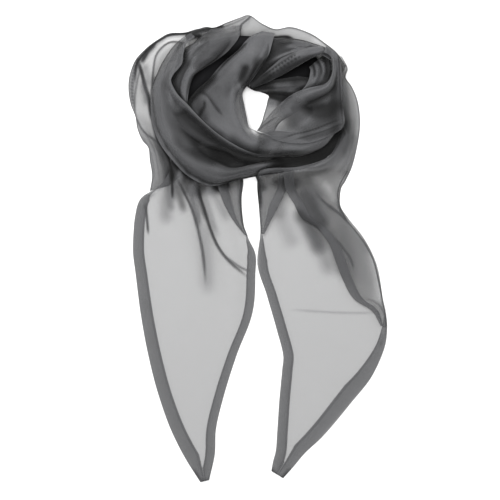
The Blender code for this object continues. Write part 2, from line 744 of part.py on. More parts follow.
# Strand under the hole, on top of the heap.
STRAND_BOTTOM = Stretch(
    "strand_bottom",
    (
        Section(0, 91.5, 4, 115.5),
        Section(14, 91.5, 18, 117.5),
        Section(28, 92, 31, 116.5),
        Section(42, 92.5, 44, 116),
        Section(56, 97, 56, 118),
        Section(68, 104, 66, 121),
        Section(75, 112.5, 73, 122.5),
        Section(85, 126.5, 80, 126.5),
    ),
    (
        Crease((0.0,), (-6.0, -4.0, -8.0, -8.0, -6.0, -5.0, -3.0)),
        Crease((0.12,), (-4.0, 0.0, 1.0, 1.0, 1.0, 1.0, 0.0)),
        Crease((0.4,), (-3.0, 2.0, 5.0, 7.0, 7.0, 5.0, 2.0)),
        Crease((0.7,), (-3.0, 1.0, 4.0, 6.0, 6.0, 4.0, 1.0)),
        Crease((1.0,), (-4.0, -2.0, 0.0, 0.0, 0.0, 0.0, -1.0)),
    ),
    rows=12, hem_left=0.0, hem_right=0.0,
)


# ---------------------------------------------------------------- the hidden layers

# Outline of the hidden layers round the hole: where a ray from the hole's middle at this
# angle meets their inner and outer sides, in millimetres.
CoreRay = namedtuple("CoreRay", "angle inner outer")
CORE_MIDDLE = (-2.0, 140.0)
CORE_RAYS = (
    CoreRay(0, 58, 82),
    CoreRay(30, 38, 82),
    CoreRay(60, 28, 72),
    CoreRay(90, 28, 72),
    CoreRay(120, 26, 80),
    CoreRay(150, 22, 90),
    CoreRay(180, 20, 86),
    CoreRay(210, 20, 62),
    CoreRay(240, 24, 44),
    CoreRay(270, 32, 42),
    CoreRay(300, 34, 44),
    CoreRay(330, 44, 66),
)
CORE_ANGLES = 36

# Section of the hidden layers from the inner side over the top to the outer side: share
# of the width, and share of the height. The sides step in and out, ply by ply.
CorePoint = namedtuple("CorePoint", "across up")
CORE_SECTION = (
    CorePoint(0.06, 0.0),
    CorePoint(0.0, 0.14),
    CorePoint(0.05, 0.3),
    CorePoint(0.01, 0.46),
    CorePoint(0.1, 0.64),
    CorePoint(0.08, 0.76),
    CorePoint(0.25, 0.94),
    CorePoint(0.5, 1.0),
    CorePoint(0.75, 0.94),
    CorePoint(0.92, 0.76),
    CorePoint(0.9, 0.64),
    CorePoint(0.99, 0.46),
    CorePoint(0.95, 0.3),
    CorePoint(1.0, 0.14),
    CorePoint(0.94, 0.0),
    CorePoint(0.5, 0.0),
)


def hidden_layers(pile, colour):
    """One rounded solid round the hole for the plies that no side shows whole."""
    turn = np.linspace(0.0, 360.0, CORE_ANGLES, endpoint=False)
    rays = np.array(CORE_RAYS, float)
    wrapped = np.vstack([rays[-2:] - (360, 0, 0), rays, rays[:2] + (360, 0, 0)])
    inner = smooth(wrapped[:, 0], wrapped[:, 1], turn)[:, None]
    outer = smooth(wrapped[:, 0], wrapped[:, 2], turn)[:, None]
    across, up = np.array(CORE_SECTION, float).T
    radius = inner + (outer - inner) * across
    angle = np.radians(turn)[:, None]
    x = CORE_MIDDLE[0] + radius * np.cos(angle)
    y = CORE_MIDDLE[1] + radius * np.sin(angle)
    base = pile.read(pile.grown(CORE_REACH), x, y) + SEAM_GAP
    rows, columns = x.shape
    points = np.stack([x, y, base + CORE_HEIGHT * up], axis=2).reshape(-1, 3)
    faces = closed_faces(rows, columns)
    for _ in range(CLEARING_PASSES):
        lift = pile.shortfall(points, faces)
        if lift.max() <= 0:
            break
        points[:, 2] += np.maximum(lift, 0)
    pile.add(points, faces)
    return make_object("hidden_layers", points, faces, colour)


def closed_faces(rows, columns):
    """Quads of a grid that closes on itself both ways."""
    index = np.arange(rows * columns).reshape(rows, columns)
    after = np.roll(index, -1, axis=0)
    corners = (index, after, np.roll(after, -1, axis=1), np.roll(index, -1, axis=1))
    return np.stack([c.ravel() for c in corners], axis=1)


# ---------------------------------------------------------------- the scarf

SHEER_GREY = (0.36, 0.36, 0.37)
DEEP_GREY = (0.13, 0.13, 0.14)
HIDDEN_GREY = (0.06, 0.06, 0.065)


def main():
    for old in list(bpy.data.objects):
        bpy.data.objects.remove(old, do_unlink=True)
    pile = Pile()
    for stretch in (LOOP_LEFT, TOP_BACK, TAIL_LEFT, TAIL_LEFT_TURNOVER):
        lay(stretch, pile, SHEER_GREY)
    hidden_layers(pile, HIDDEN_GREY)
    for stretch in (
        INNER_BACK, INNER_PLEATS, BAND_TOP, HEM_ROLL, STRAND_CENTRE, SHOULDER_LEFT, BAND_FRONT,
    ):
        lay(stretch, pile, DEEP_GREY)
    for stretch in (TAIL_RIGHT, TAIL_RIGHT_TURNOVER_LEFT, TAIL_RIGHT_TURNOVER_RIGHT):
        lay(stretch, pile, SHEER_GREY)
    for stretch in (STRAND_BOTTOM, PANEL_RIGHT):
        lay(stretch, pile, DEEP_GREY)


main()
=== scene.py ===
"""A chiffon neck scarf with pointed ends, wound into a ring and laid flat.

The sections follow the scarf as it is laid: the loops that lie on the table first, then
the layers of the wound ring, then the tail that comes out on top. Lengths in the tables
are in millimetres, +X right, +Y from the tails to the ring, +Z up from the table.
"""
from collections import namedtuple

import bpy
import numpy as np
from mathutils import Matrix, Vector


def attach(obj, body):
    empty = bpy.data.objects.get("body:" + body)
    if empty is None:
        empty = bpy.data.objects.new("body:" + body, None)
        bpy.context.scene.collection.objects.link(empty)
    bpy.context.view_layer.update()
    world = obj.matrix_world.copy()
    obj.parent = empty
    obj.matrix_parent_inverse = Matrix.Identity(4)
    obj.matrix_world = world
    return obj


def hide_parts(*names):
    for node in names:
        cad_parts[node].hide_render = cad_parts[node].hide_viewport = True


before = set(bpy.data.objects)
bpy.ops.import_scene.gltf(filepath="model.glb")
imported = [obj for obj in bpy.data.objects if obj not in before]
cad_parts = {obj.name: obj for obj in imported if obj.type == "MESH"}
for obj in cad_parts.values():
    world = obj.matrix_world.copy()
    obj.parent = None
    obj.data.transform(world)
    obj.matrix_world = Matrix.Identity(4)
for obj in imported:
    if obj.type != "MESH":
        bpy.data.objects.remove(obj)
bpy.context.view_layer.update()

MM = 0.001

# ---------------- outer loop, left
# The strip's sheer outer loop at the ring's left. It is one ply of grey chiffon, laid
# straight on the table, and it runs from the ring's top down under the left tail.

# A section is a place along a stretch: x and y of its left long edge, then of its right
# one. A crease runs along the stretch: its share of the width from the left edge, and the
# height of the cloth there above what it lies on. A fold is a finer ridge or trough along
# a line of its own in plan, x and y in turn, then its rise, how far it spreads beside the
# line (or to its left and right), the plies that are tucked into it, the depth of painted
# shade that it adds to the cloth's colour (a negative one takes painted shade away), and
# the pitch of a row of stitches. A crease's numbers and a stretch's plies are given at
# even stations from start to end, and the plies at even places across too. A cloth is
# what a stretch becomes.
TABLE_Y = 0.5         # sections and folds count their y from here, so most are whole
RING_GRAIN = 1.0      # between the points of a sheet's grid
Fold = namedtuple("Fold", "line rise spread plies pinch pitch", defaults=(0, 0, 0))
Stretch = namedtuple(
    "Stretch",
    "sections creases folds plies hem_left hem_right grain",
    defaults=((), [1], None, None, RING_GRAIN),
)
Cloth = namedtuple("Cloth", "points plies pinch weave")

CLOTH = 0.35          # thickness of a ply and of the air that it holds
LIFT = 0.25           # from what a sheet lies on to the middle of the sheet
LAYER = 1.2           # height that one sheet adds to the pile
GAP = 0.5             # between two sheets
SOFT = 0.6            # rounds a sheet off where it comes down on what lies below
CLOSER = 0.3          # how much closer the columns of a grid are near its edges
EDGE_PLIES = 1.8      # more at a long edge, where the cloth turns under
EDGE_WIDTH = 1.0
FOLD_STEPS = 24       # straight pieces of a fold's curve
FOLD_FADE = 0.25      # share of a fold's line over which it comes and goes


def ease(t):
    """Three times the square less twice the cube: from 0 to 1, level at both."""
    return t * t * (3 - 2 * t)


def hermite(t, step, first, last, first_slope, last_slope):
    """Cubic over a step, as t goes from 0 to 1: the two values and the two slopes at its
    ends are blended with the Hermite polynomials."""
    ends = (1 + 2 * t) * (1 - t) ** 2 * first + t ** 2 * (3 - 2 * t) * last
    return ends + t * (1 - t) * step * ((1 - t) * first_slope - t * last_slope)


def smooth(stations, values, where):
    """Cubic curve through values at rising stations, with the mean slope at each."""
    if len(stations) == 1:
        return np.full(np.shape(where), float(values[0]))
    slopes = np.gradient(values, stations)
    cell = np.clip(np.searchsorted(stations, where, side="right") - 1, 0, len(stations) - 2)
    step = stations[cell + 1] - stations[cell]
    t = (where - stations[cell]) / step
    return hermite(t, step, values[cell], values[cell + 1], slopes[cell], slopes[cell + 1])


def even(values, where):
    """Curve through values at even stations from 0 to 1."""
    values = np.atleast_1d(values).astype(float)
    return smooth(np.linspace(0.0, 1.0, len(values)), values, where)


def measured(line):
    """Share of a line's length at each of its points, and its length."""
    steps = np.hypot(*np.diff(line, axis=0).T)
    return np.concatenate([[0.0], np.cumsum(steps)]) / steps.sum(), steps.sum()


def through_creases(creases, along, share):
    """Height of the creases over the grid: in each row, a smooth curve through them that
    turns level at each ridge and in each trough."""
    place = np.stack([even(across, along) for across, _ in creases], axis=1)
    value = np.stack([even(height, along) for _, height in creases], axis=1)
    step = np.diff(place, axis=1)
    rate = np.diff(value, axis=1) / step
    slope = np.empty_like(value)
    slope[:, 0] = rate[:, 0]
    slope[:, -1] = rate[:, -1]
    before, after = rate[:, :-1], rate[:, 1:]
    mean = (before * step[:, 1:] + after * step[:, :-1]) / (step[:, 1:] + step[:, :-1])
    slope[:, 1:-1] = np.where(before * after > 0, mean, 0.0)
    result = np.repeat(value[:, :1], share.shape[1], axis=1)
    for k in range(len(creases) - 1):
        near, far = slice(k, k + 1), slice(k + 1, k + 2)
        t = (share - place[:, near]) / step[:, near]
        curve = hermite(
            t, step[:, near], value[:, near], value[:, far], slope[:, near], slope[:, far]
        )
        result = np.where((t >= 0) & (t <= 1), curve, result)
    return result


def blend(table, i, j, eased=False):
    """A table's values between its places: the four nearest ones, each by its share, or
    by its eased share, which turns level at each place."""
    last_row, last_column = table.shape[0] - 1, table.shape[1] - 1
    i = np.clip(i, 0, max(last_row - 0.001, 0))
    j = np.clip(j, 0, max(last_column - 0.001, 0))
    row, column = i.astype(int), j.astype(int)
    a, b = i - row, j - column
    if eased:
        a, b = ease(a), ease(b)
    next_row, next_column = np.minimum(row + 1, last_row), np.minimum(column + 1, last_column)
    near = table[row, column] * (1 - b) + table[row, next_column] * b
    far = table[next_row, column] * (1 - b) + table[next_row, next_column] * b
    return near * (1 - a) + far * a


def ply_count(plies, along, share):
    """Number of plies over the grid, from the table of a stretch's plies."""
    table = np.array(plies, float).reshape(len(plies), -1)
    return blend(
        table, along[:, None] * (table.shape[0] - 1), share * (table.shape[1] - 1), eased=True
    )


def along_folds(folds, x, y):
    """Rise, extra plies and painted darkening of the folds at each point: for each fold a bell
    across its line, as wide as it spreads on that side, that fades out over the line's two
    ends. A row of stitches comes and goes along the line, once in each pitch. The darkening
    is a depth of painted shade, put into the cloth's colour once the scarf is laid."""
    rise, plies, pinch = np.zeros((3, *x.shape))
    for fold in (Fold(*row) for row in folds):
        line = np.array(fold.line, float).reshape(-1, 2) + (0, TABLE_Y)
        stations, length = measured(line)
        where = np.linspace(0.0, 1.0, FOLD_STEPS + 1)
        route = np.stack([smooth(stations, column, where) for column in line.T], axis=1)
        nearest = np.full(x.shape, np.inf)
        side, place = np.zeros((2, *x.shape))
        for k, (start, step) in enumerate(zip(route, np.diff(route, axis=0))):
            dx, dy = x - start[0], y - start[1]
            t = np.clip((dx * step[0] + dy * step[1]) / (step @ step), 0, 1)
            away = np.hypot(dx - t * step[0], dy - t * step[1])
            closer = away < nearest
            nearest = np.where(closer, away, nearest)
            side = np.where(closer, step[0] * dy - step[1] * dx, side)
            place = np.where(closer, (k + t) / FOLD_STEPS, place)
        spread = np.where(side > 0, *np.broadcast_to(fold.spread, 2))
        fade = np.clip(place / FOLD_FADE, 0, 1) * np.clip((1 - place) / FOLD_FADE, 0, 1)
        bell = ease(fade) * np.exp(-(nearest / spread) ** 2)
        if fold.pitch:
            bell = bell * (1 + np.cos(2 * np.pi * place * length / fold.pitch)) / 2
        rise += fold.rise * bell
        plies += fold.plies * bell
        # painted shade: each fold darkens the cloth's colour along its bell
        pinch += fold.pinch * bell
    return rise, plies, pinch


def finer(*grids, parts=3):
    """The grids' values between their points, by so many parts each way: at a share a of
    the way to the next row and b to the next column."""
    for a in np.arange(parts) / parts:
        for b in np.arange(parts) / parts:
            near = [grid[:-1, :-1] * (1 - b) + grid[:-1, 1:] * b for grid in grids]
            far = [grid[1:, :-1] * (1 - b) + grid[1:, 1:] * b for grid in grids]
            yield [n * (1 - a) + f * a for n, f in zip(near, far)]


def four_beside(field):
    """The field moved by one cell each way, so that each cell has its four neighbours."""
    return [np.roll(field, shift, axis) for shift in (-1, 1) for axis in (0, 1)]


class Pile:
    """Height of everything laid so far, on square cells a millimetre wide."""

    left, near, columns, rows = -145.0, -250.0, 290, 500
    reach = 3             # cells that a sheet keeps from steep places below it
    pulls = 160           # times that a sheet is pulled taut
    sag = 0.012           # each time

    def __init__(self):
        self.top = np.zeros((self.rows, self.columns))

    def cells(self, x, y):
        column = np.clip(np.rint(x - self.left).astype(int), 0, self.columns - 1)
        row = np.clip(np.rint(y - self.near).astype(int), 0, self.rows - 1)
        return row, column

    def read(self, field, x, y):
        return blend(field, y - self.near, x - self.left)

    def grown(self, reach):
        """The top, spread sideways by a number of cells."""
        field = self.top
        for _ in range(reach):
            for axis in (0, 1):
                turned = [np.roll(field, shift, axis) for shift in (-1, 1)]
                field = np.maximum(field, np.maximum(*turned))
        return field

    def blurred(self, field, reach):
        """Mean over a square of cells, taken first one way and then the other."""
        for axis in (0, 1):
            shifts = range(-reach, reach + 1)
            field = sum(np.roll(field, shift, axis) for shift in shifts) / (2 * reach + 1)
        return field

    def floor(self):
        """Lowest place for a new sheet: the top grown by the reach and blurred by less, so
        that it stays clear of it, and raised by the gap wherever something lies below."""
        under = self.blurred(self.grown(self.reach), self.reach - 1)
        return under + GAP * np.clip(under, 0, 1) + LIFT

    def drape(self, x, y):
        """Limp cloth over the grid's footprint: taut between the high places and sagging
        under its own weight, with free edges. Each cell is pulled to the mean of the four
        next to it, again and again, and never goes below the floor."""
        inside = np.zeros(self.top.shape, bool)
        for fine_x, fine_y in finer(x, y):
            inside[self.cells(fine_x, fine_y)] = True
        height = floor = self.floor()
        count = np.maximum(sum(four_beside(inside.astype(float))), 1)
        for _ in range(self.pulls):
            pull = sum(four_beside(height * inside)) / count
            height = np.where(inside, np.maximum(floor, pull - self.sag), floor)
        return height

    def add(self, x, y, z):
        """Raise the top to a sheet that has just been laid."""
        for fine_x, fine_y, fine_z in finer(x, y, z):
            np.maximum.at(self.top, self.cells(fine_x, fine_y), fine_z + LAYER - LIFT)


# Across a turned hem: the place, as a share of its width from the cloth's edge, how far
# it rises there over the single ply, and how much of its two further plies counts.
TURNED_HEM = [
    (0, 0.15, 0.66), (0.06, 0.5, 0.7), (0.18, 0.6, 0.74), (0.5, 0.6, 0.84),
    (0.78, 0.6, 0.92), (0.84, 0.2, 1.3), (0.9, 0.55, 1.25), (0.96, 0.45, 1.15),
]
HEM_RISE = 0.6        # of the cloth between two hems that meet
HEM_MEET = (0.3, 0.8)  # this far apart they meet fully, and not at all
HEM_LEAST = 0.8       # width where the hem has just been turned over
HEM_MOST = 0.485      # share of the cloth's width that one hem may take
HEM_FILL = 3.0        # a hem has all its plies at a third of its width
TIP_Y = -215.0        # where the tails come to their points

# Where a hem lies flat along an edge: it is gone at one y, where its margin is turned
# over, has its full width from another y on, and a width of its own at the tail's point.
Hem = namedtuple("Hem", "gone full width tip", defaults=(10.0, 10.0))


def hem_span(hem, edge_y, width):
    """Width of a hem in each row, and its share of a full hem."""
    if hem is None:
        return np.zeros((2, *edge_y.shape))
    share = np.clip((edge_y - hem.gone) / (hem.full - hem.gone), 0, 1)
    to_tip = np.clip((hem.full - edge_y) / (hem.full - TIP_Y), 0, 1)
    full_width = hem.width + (hem.tip - hem.width) * to_tip
    span = np.minimum(HEM_LEAST + (full_width - HEM_LEAST) * share, HEM_MOST * width)
    return span, np.minimum(share * HEM_FILL, 1)


def lay_sheet(stretch):
    """Lay a stretch on the pile. In plan its grid has even rows along the two long edges,
    smooth curves through the sections, and in each row the places across the hems and the
    columns between them. Its height is that of the draped cloth, plus its creases, folds
    and hems, and the soft greater of that and the floor."""
    table = np.array(stretch.sections, float) + (0, TABLE_Y, 0, TABLE_Y)
    stations, length = measured((table[:, :2] + table[:, 2:]) / 2)
    along = np.linspace(0.0, 1.0, int(round(length / stretch.grain)) + 1)
    edges = [smooth(stations, column, along)[:, None] for column in table.T]
    left_x, left_y, right_x, right_y = edges
    width = np.hypot(right_x - left_x, right_y - left_y)
    hem_left, share_left = hem_span(stretch.hem_left, left_y, width)
    hem_right, share_right = hem_span(stretch.hem_right, right_y, width)
    body = width - hem_left - hem_right
    t = np.linspace(0.0, 1.0, int(round(width.max() / stretch.grain)) + 1)
    t = t - CLOSER * np.sin(2 * np.pi * t) / (2 * np.pi)
    filled = np.clip((HEM_MEET[1] - body) / (HEM_MEET[1] - HEM_MEET[0]), 0, 1)
    parts = [((hem_left + t * body) / width, HEM_RISE * filled + 0 * t, 2 * filled + 0 * t)]
    across, rise, plies = np.array(TURNED_HEM).T
    if stretch.hem_left:
        parts.insert(0, (across * (hem_left / width), rise * share_left, 2 * plies * share_left))
    if stretch.hem_right:
        across, rise, plies = np.array(TURNED_HEM[::-1]).T
        across = 1 - across * (hem_right / width)
        parts.append((across, rise * share_right, 2 * plies * share_right))
    share, hem_rise, hem_plies = (np.hstack(part) for part in zip(*parts))
    x = left_x * (1 - share) + right_x * share
    y = left_y * (1 - share) + right_y * share
    fold_share = np.clip((share * width - hem_left) / body, 0, 1)

    rest = pile.read(pile.drape(x, y), x, y)
    lowest = pile.read(pile.floor(), x, y)
    # the folds' painted darkening goes with the cloth, to be painted as shade once all is laid
    rise, tucked, pinch = along_folds(stretch.folds, x, y)
    height = rest + through_creases(stretch.creases, along, fold_share) + rise
    height = (height + lowest + np.sqrt((height - lowest) ** 2 + SOFT ** 2) - SOFT) / 2
    height = np.maximum(height, lowest) + hem_rise
    plies = ply_count(stretch.plies, along, fold_share) + tucked + hem_plies
    edge = np.minimum(share, 1 - share) * width
    turned = EDGE_PLIES * np.clip(1 - hem_plies, 0, 1)
    plies = np.maximum(plies, 0) + turned * np.exp(-(edge / EDGE_WIDTH) ** 2)
    pile.add(x, y, height)
    weave = np.stack([along[:, None] * length + 0 * x, (share - 0.5) * width], axis=2)
    return Cloth(np.stack([x, y, height], axis=2), plies, pinch, weave)


CURL = 0.85           # radius of an edge that is turned under
CURL_ANGLES = np.radians(np.linspace(75, -80, 7))[:, None, None]
CURL_STEP = 0.45      # length of cloth from one angle to the next, in radii


def curled_edge(cloth, side):
    """Add columns past one long edge that turn it under: an arc in each row, square to the
    edge, that goes over and back under it."""
    grids = [grid[:, ::side] for grid in cloth]
    edge = grids[0][:, -1]
    out = edge - grids[0][:, -3]
    out[:, 2] = 0
    out /= np.linalg.norm(out, axis=1, keepdims=True)
    arc = edge + out * (CURL * (np.cos(CURL_ANGLES) - 1))
    arc[..., 2] += CURL * (np.sin(CURL_ANGLES[..., 0]) - 1)
    steps = len(CURL_ANGLES)
    ends = [np.repeat(grid[:, -1:], steps, axis=1) for grid in grids]
    ends[0] = arc.transpose(1, 0, 2)
    ends[3][..., 1] += side * np.arange(steps) * CURL * CURL_STEP
    longer = [np.concatenate([grid[:, :-1], end], axis=1) for grid, end in zip(grids, ends)]
    return Cloth(*(grid[:, ::side] for grid in longer))


def grid_faces(index):
    """The quads between the points of a grid, from the points' numbers."""
    corners = [index[:-1, :-1], index[1:, :-1], index[1:, 1:], index[:-1, 1:]]
    return np.stack(corners, axis=2)


def new_piece(name, points, faces, material):
    """A mesh at the origin from its points in millimetres and its faces."""
    mesh = bpy.data.meshes.new(name)
    mesh.from_pydata((np.reshape(points, (-1, 3)) * MM).tolist(), [], faces)
    mesh.shade_smooth()
    mesh.materials.append(material)
    piece = bpy.data.objects.new(name, mesh)
    bpy.context.scene.collection.objects.link(piece)
    return piece


def sew_sheet(name, cloth):
    """Make the sheet's mesh from its grid, with the plies as an attribute and the weave's
    own map in metres, and give it the thickness of the cloth. The painted shade attribute
    holds the folds' painted darkening until the whole scarf is laid, and then the painted
    shade that scales the cloth's colour."""
    points, plies, pinch, weave = cloth
    quads = grid_faces(np.arange(plies.size).reshape(plies.shape))
    across, along = np.diff(points, axis=1), np.diff(points, axis=0)
    if np.cross(along[:, :-1], across[:-1])[..., 2].sum() < 0:
        quads = quads[..., ::-1]
    piece = new_piece(name, points, quads.reshape(-1, 4).tolist(), CHIFFON)
    for field, values in (("plies", plies), ("painted_shade", pinch)):
        attribute = piece.data.attributes.new(field, "FLOAT", "POINT")
        attribute.data.foreach_set("value", values.ravel())
    layer = piece.data.uv_layers.new(name="weave")
    layer.data.foreach_set("uv", (weave.reshape(-1, 2)[quads.ravel()] * MM).ravel())
    wall = piece.modifiers.new("thickness", "SOLIDIFY")
    wall.thickness = CLOTH * MM
    wall.offset = 0
    return piece


def lay(name, node, stretch, slot="layered_chiffon", held="folded", curl=None, **sheet):
    """Lay a stretch and sew it as the piece that stands for a node of the solids."""
    cloth = lay_sheet(stretch)
    piece = sew_sheet(name, curled_edge(cloth, curl) if curl else cloth)
    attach(piece, "root")
    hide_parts(node)
    pieces.append(piece)
    return piece


def operator(operation, reflected=False):
    """An operator between a number in a material and another, or a plain one."""
    def apply(self, other):
        first, second = (other, self) if reflected else (self, other)
        return self.shader.node("ShaderNodeMath", {"operation": operation}, {0: first, 1: second})
    return apply


class Wire:
    """A number on its way through a material: each operator adds a Math node."""

    def __init__(self, shader, socket):
        self.shader, self.socket = shader, socket

    __add__ = __radd__ = operator("ADD")
    __sub__, __rsub__ = operator("SUBTRACT"), operator("SUBTRACT", reflected=True)
    __mul__ = __rmul__ = operator("MULTIPLY")
    __rpow__ = operator("POWER", reflected=True)

    def sine(self):
        return self.shader.node("ShaderNodeMath", {"operation": "SINE"}, {0: self})


class Shader:
    """A material whose nodes are added one by one, and its Principled BSDF."""

    def __init__(self, name):
        self.material = bpy.data.materials.new(name)
        self.material.use_nodes = True
        self.tree = self.material.node_tree
        self.surface = self.tree.nodes["Principled BSDF"]

    def node(self, kind, settings=None, sockets=None, output=0):
        """Add a node: first its settings, then the values or links of its sockets."""
        node = self.tree.nodes.new(kind)
        for name, value in (settings or {}).items():
            setattr(node, name, value)
        self.join(node, sockets or {})
        return Wire(self, node.outputs[output])

    def join(self, node, sockets):
        for name, value in sockets.items():
            if isinstance(value, Wire):
                self.tree.links.new(value.socket, node.inputs[name])
            else:
                node.inputs[name].default_value = value

    def noise(self, vector, scale, detail=2.0):
        sockets = {"Vector": vector, "Scale": scale, "Detail": detail}
        return self.node("ShaderNodeTexNoise", {}, sockets)

    def field(self, name):
        return self.node("ShaderNodeAttribute", {"attribute_name": name}, {}, "Fac")

    def with_painted_shade(self, tone, dark, pale):
        """A colour between two by its tone, times the painted shade of the place."""
        mix = {"data_type": "RGBA", "clamp_factor": True}
        colour = self.node("ShaderNodeMix", mix, {0: tone, 6: (*dark, 1), 7: (*pale, 1)}, 2)
        scale = {0: colour, "Scale": self.field("painted_shade")}
        return self.node("ShaderNodeVectorMath", {"operation": "SCALE"}, scale)

    def bump(self, height, strength, distance):
        sockets = {"Height": height, "Strength": strength, "Distance": distance}
        return self.node("ShaderNodeBump", {}, sockets)


# One ply lets through this share of the light, and the sheet's two faces share that out.
PLY_LIGHT = 0.57
THREAD_DARK = (0.064, 0.065, 0.068)
THREAD_PALE = (0.132, 0.133, 0.139)
THREADS = 2800.0      # in a metre, each way


def chiffon():
    """Plain-woven grey chiffon of twisted yarn. Threads cross in its own map, the yarn is
    uneven, and the cloth is as sheer as the number of its plies lets it be."""
    cloth = Shader("grey_chiffon")
    weave = cloth.node("ShaderNodeUVMap", {"uv_map": "weave"})
    wavy = cloth.noise(weave, 160.0, 1.0) * 6.0
    turn = 2 * np.pi * THREADS
    warp, weft = (
        (cloth.node("ShaderNodeSeparateXYZ", {}, {"Vector": weave}, way) * turn + wavy).sine()
        for way in "XY"
    )
    stretched = cloth.node(
        "ShaderNodeMapping", {}, {"Vector": weave, "Scale": (260.0, 1500.0, 1.0)}
    )
    slub = cloth.noise(stretched, 1.0)
    grain = cloth.noise(weave, 850.0)
    cloud = cloth.noise(weave, 60.0)
    tone = grain * 0.9 + slub * 0.5 + cloud * 0.3 + (warp + weft) * 0.04 - 0.35
    dense = cloth.field("plies") * 0.5 * (0.82 + grain * 0.25 + slub * 0.11)
    cloth.join(cloth.surface, {
        # the base colour is scaled by the painted shade of hollows and folds
        "Base Color": cloth.with_painted_shade(tone, THREAD_DARK, THREAD_PALE),
        "Roughness": 0.72 + slub * 0.15,
        "Alpha": 1 - PLY_LIGHT ** dense,
        "Normal": cloth.bump((warp + weft) * 0.15 + grain * 1.5 + slub, 0.35, 0.0001),
        "Specular IOR Level": 0.3,
        "Sheen Weight": 0.12,
        "Sheen Roughness": 0.4,
    })
    return cloth.material


CHIFFON = chiffon()
pile = Pile()
pieces = []

LOOP_LEFT = Stretch(sections=[
    (-46, 220.2, -50, 215), (-61, 218.9, -60, 208.5), (-73, 215.5, -68, 199),
    (-88, 214.7, -75, 189.5), (-99.4, 208.8, -88, 186), (-112, 199.5, -93, 172),
    (-122.5, 188, -96, 158), (-128.5, 172, -97, 144), (-129.5, 158, -96, 130),
    (-127.3, 144, -92, 118), (-122.5, 131, -86, 106), (-120.5, 119, -82, 96),
    (-115.5, 107.5, -79, 88), (-109.5, 100, -76, 80), (-108.2, 88, -75, 75), (-106, 74, -80, 70),
    (-108, 57, -90, 62),
], creases=[
    (0, 0), (0.14, (1.5, 3, 2, 0.8, 1)), (0.3, (0.5, 0.6, 0.3, 0.3, 0.5)),
    ((0.4, 0.42, 0.6, 0.55, 0.5), (1, 2, 3, 2.5, 2)),
    ((0.7, 0.7, 0.8, 0.75, 0.7), (0.3, 0.3, 0.3, 0.5, 0.5)), (1, 0),
], folds=[
    ((-38, 221.5, -50, 219.2, -58, 218.2, -64, 216.6, -71, 214.8, -78, 214.2, -84, 213.8,
      -89.5, 213, -97, 208.8, -105, 203.6, -110.7, 198.2, -116, 192.2, -120, 187.4, -121.8, 182,
      -123, 173, -123.4, 162), 1, 1, 8, 3),
    ((-101, 206, -107, 200.2, -110.8, 196, -113.1, 192, -115.2, 188.4, -116.4, 184),
      0.3, 1.6, 5.2, 1.8),
    ((-123, 194, -120.4, 188, -118.6, 182, -116.5, 176, -115, 170, -113.5, 164, -111.8, 158,
      -109.9, 152, -108.6, 145, -107.8, 137, -107, 126), 0.6, 1.3, 5, 1.2),
    ((-114, 186, -112, 178, -110, 170, -109, 160), 0, 3.5, 0.5),
    ((-112, 172, -114.5, 162, -112.5, 152, -111, 140), 0, 3, 0.8),
    ((-116, 188, -118.5, 177, -120.7, 167, -122.6, 157, -123.5, 146, -123, 136, -119, 126),
      0.4, 0.9, 1.3, 0.3),
    ((-119, 194, -122.5, 184, -124.7, 173, -126.2, 161, -126, 149, -123, 136), 0.3, 2.6, 1),
    ((-121, 192, -124, 178, -125.8, 164, -125.4, 148, -123, 136), 0, 1.2, 2, 0.4, 3.4),
    ((-68, 202, -74, 204.6, -82, 206.2, -88, 205.8, -93, 203.1, -98, 198.5, -102, 192.5,
      -103.7, 186, -104.7, 178, -105.7, 168, -107, 152), 0.3, 0.8, 2.4, 0.4),
    ((-66, 206, -78, 203.5, -87, 199.5, -94, 192, -98.5, 183, -101.5, 173, -104, 158),
      0, (3.2, 4.4), 0.45),
    ((-71, 200, -72, 194, -74, 188, -78, 181, -84, 172), 0, 4, 6, 2.6),
    ((-102.6, 174, -103.8, 168, -104.6, 162, -105.4, 155), 0, 1.5, 0.9),
    ((-128, 136, -121, 128, -116.5, 119.5, -110, 112.5, -102.5, 108, -94, 102), 0.5, 0.9, 1.6, 0.3),
    ((-109, 144, -106, 130, -103, 117, -99, 106, -93.7, 97, -89, 88, -86, 78, -84.5, 66),
      0, (1, 1.1), 4, 1.6),
    ((-103, 118, -98, 104, -94, 93, -91.5, 82, -90.5, 70, -91, 56), 0.4, 3.6, 3, 1),
    ((-119, 124, -111, 112, -104, 98, -100, 80, -98, 64), 0.3, 0.9, 0.6),
    ((-112, 120, -106, 110, -100, 98, -96, 78), 0.3, 0.9, 0.6),
    ((-120, 116, -112, 105, -107, 94, -104, 76, -103, 62), 0.3, 0.9, 0.5),
], plies=[0.45, 0.45, 0.5, 0.75, 0.95, 1.1, 1.05, 1.4, 1.95, 1.95, 1.9])

loop_left = lay(
    "outer_loop_left", "loop_left", LOOP_LEFT, "sheer_chiffon", "laid", flat=(0.032, 0.21)
)

# ---------------- loop across the top
# The sheer loop at the back of the ring. Its upper part stands out past the ring, one
# ply thick, and its lower part lies under the bands.

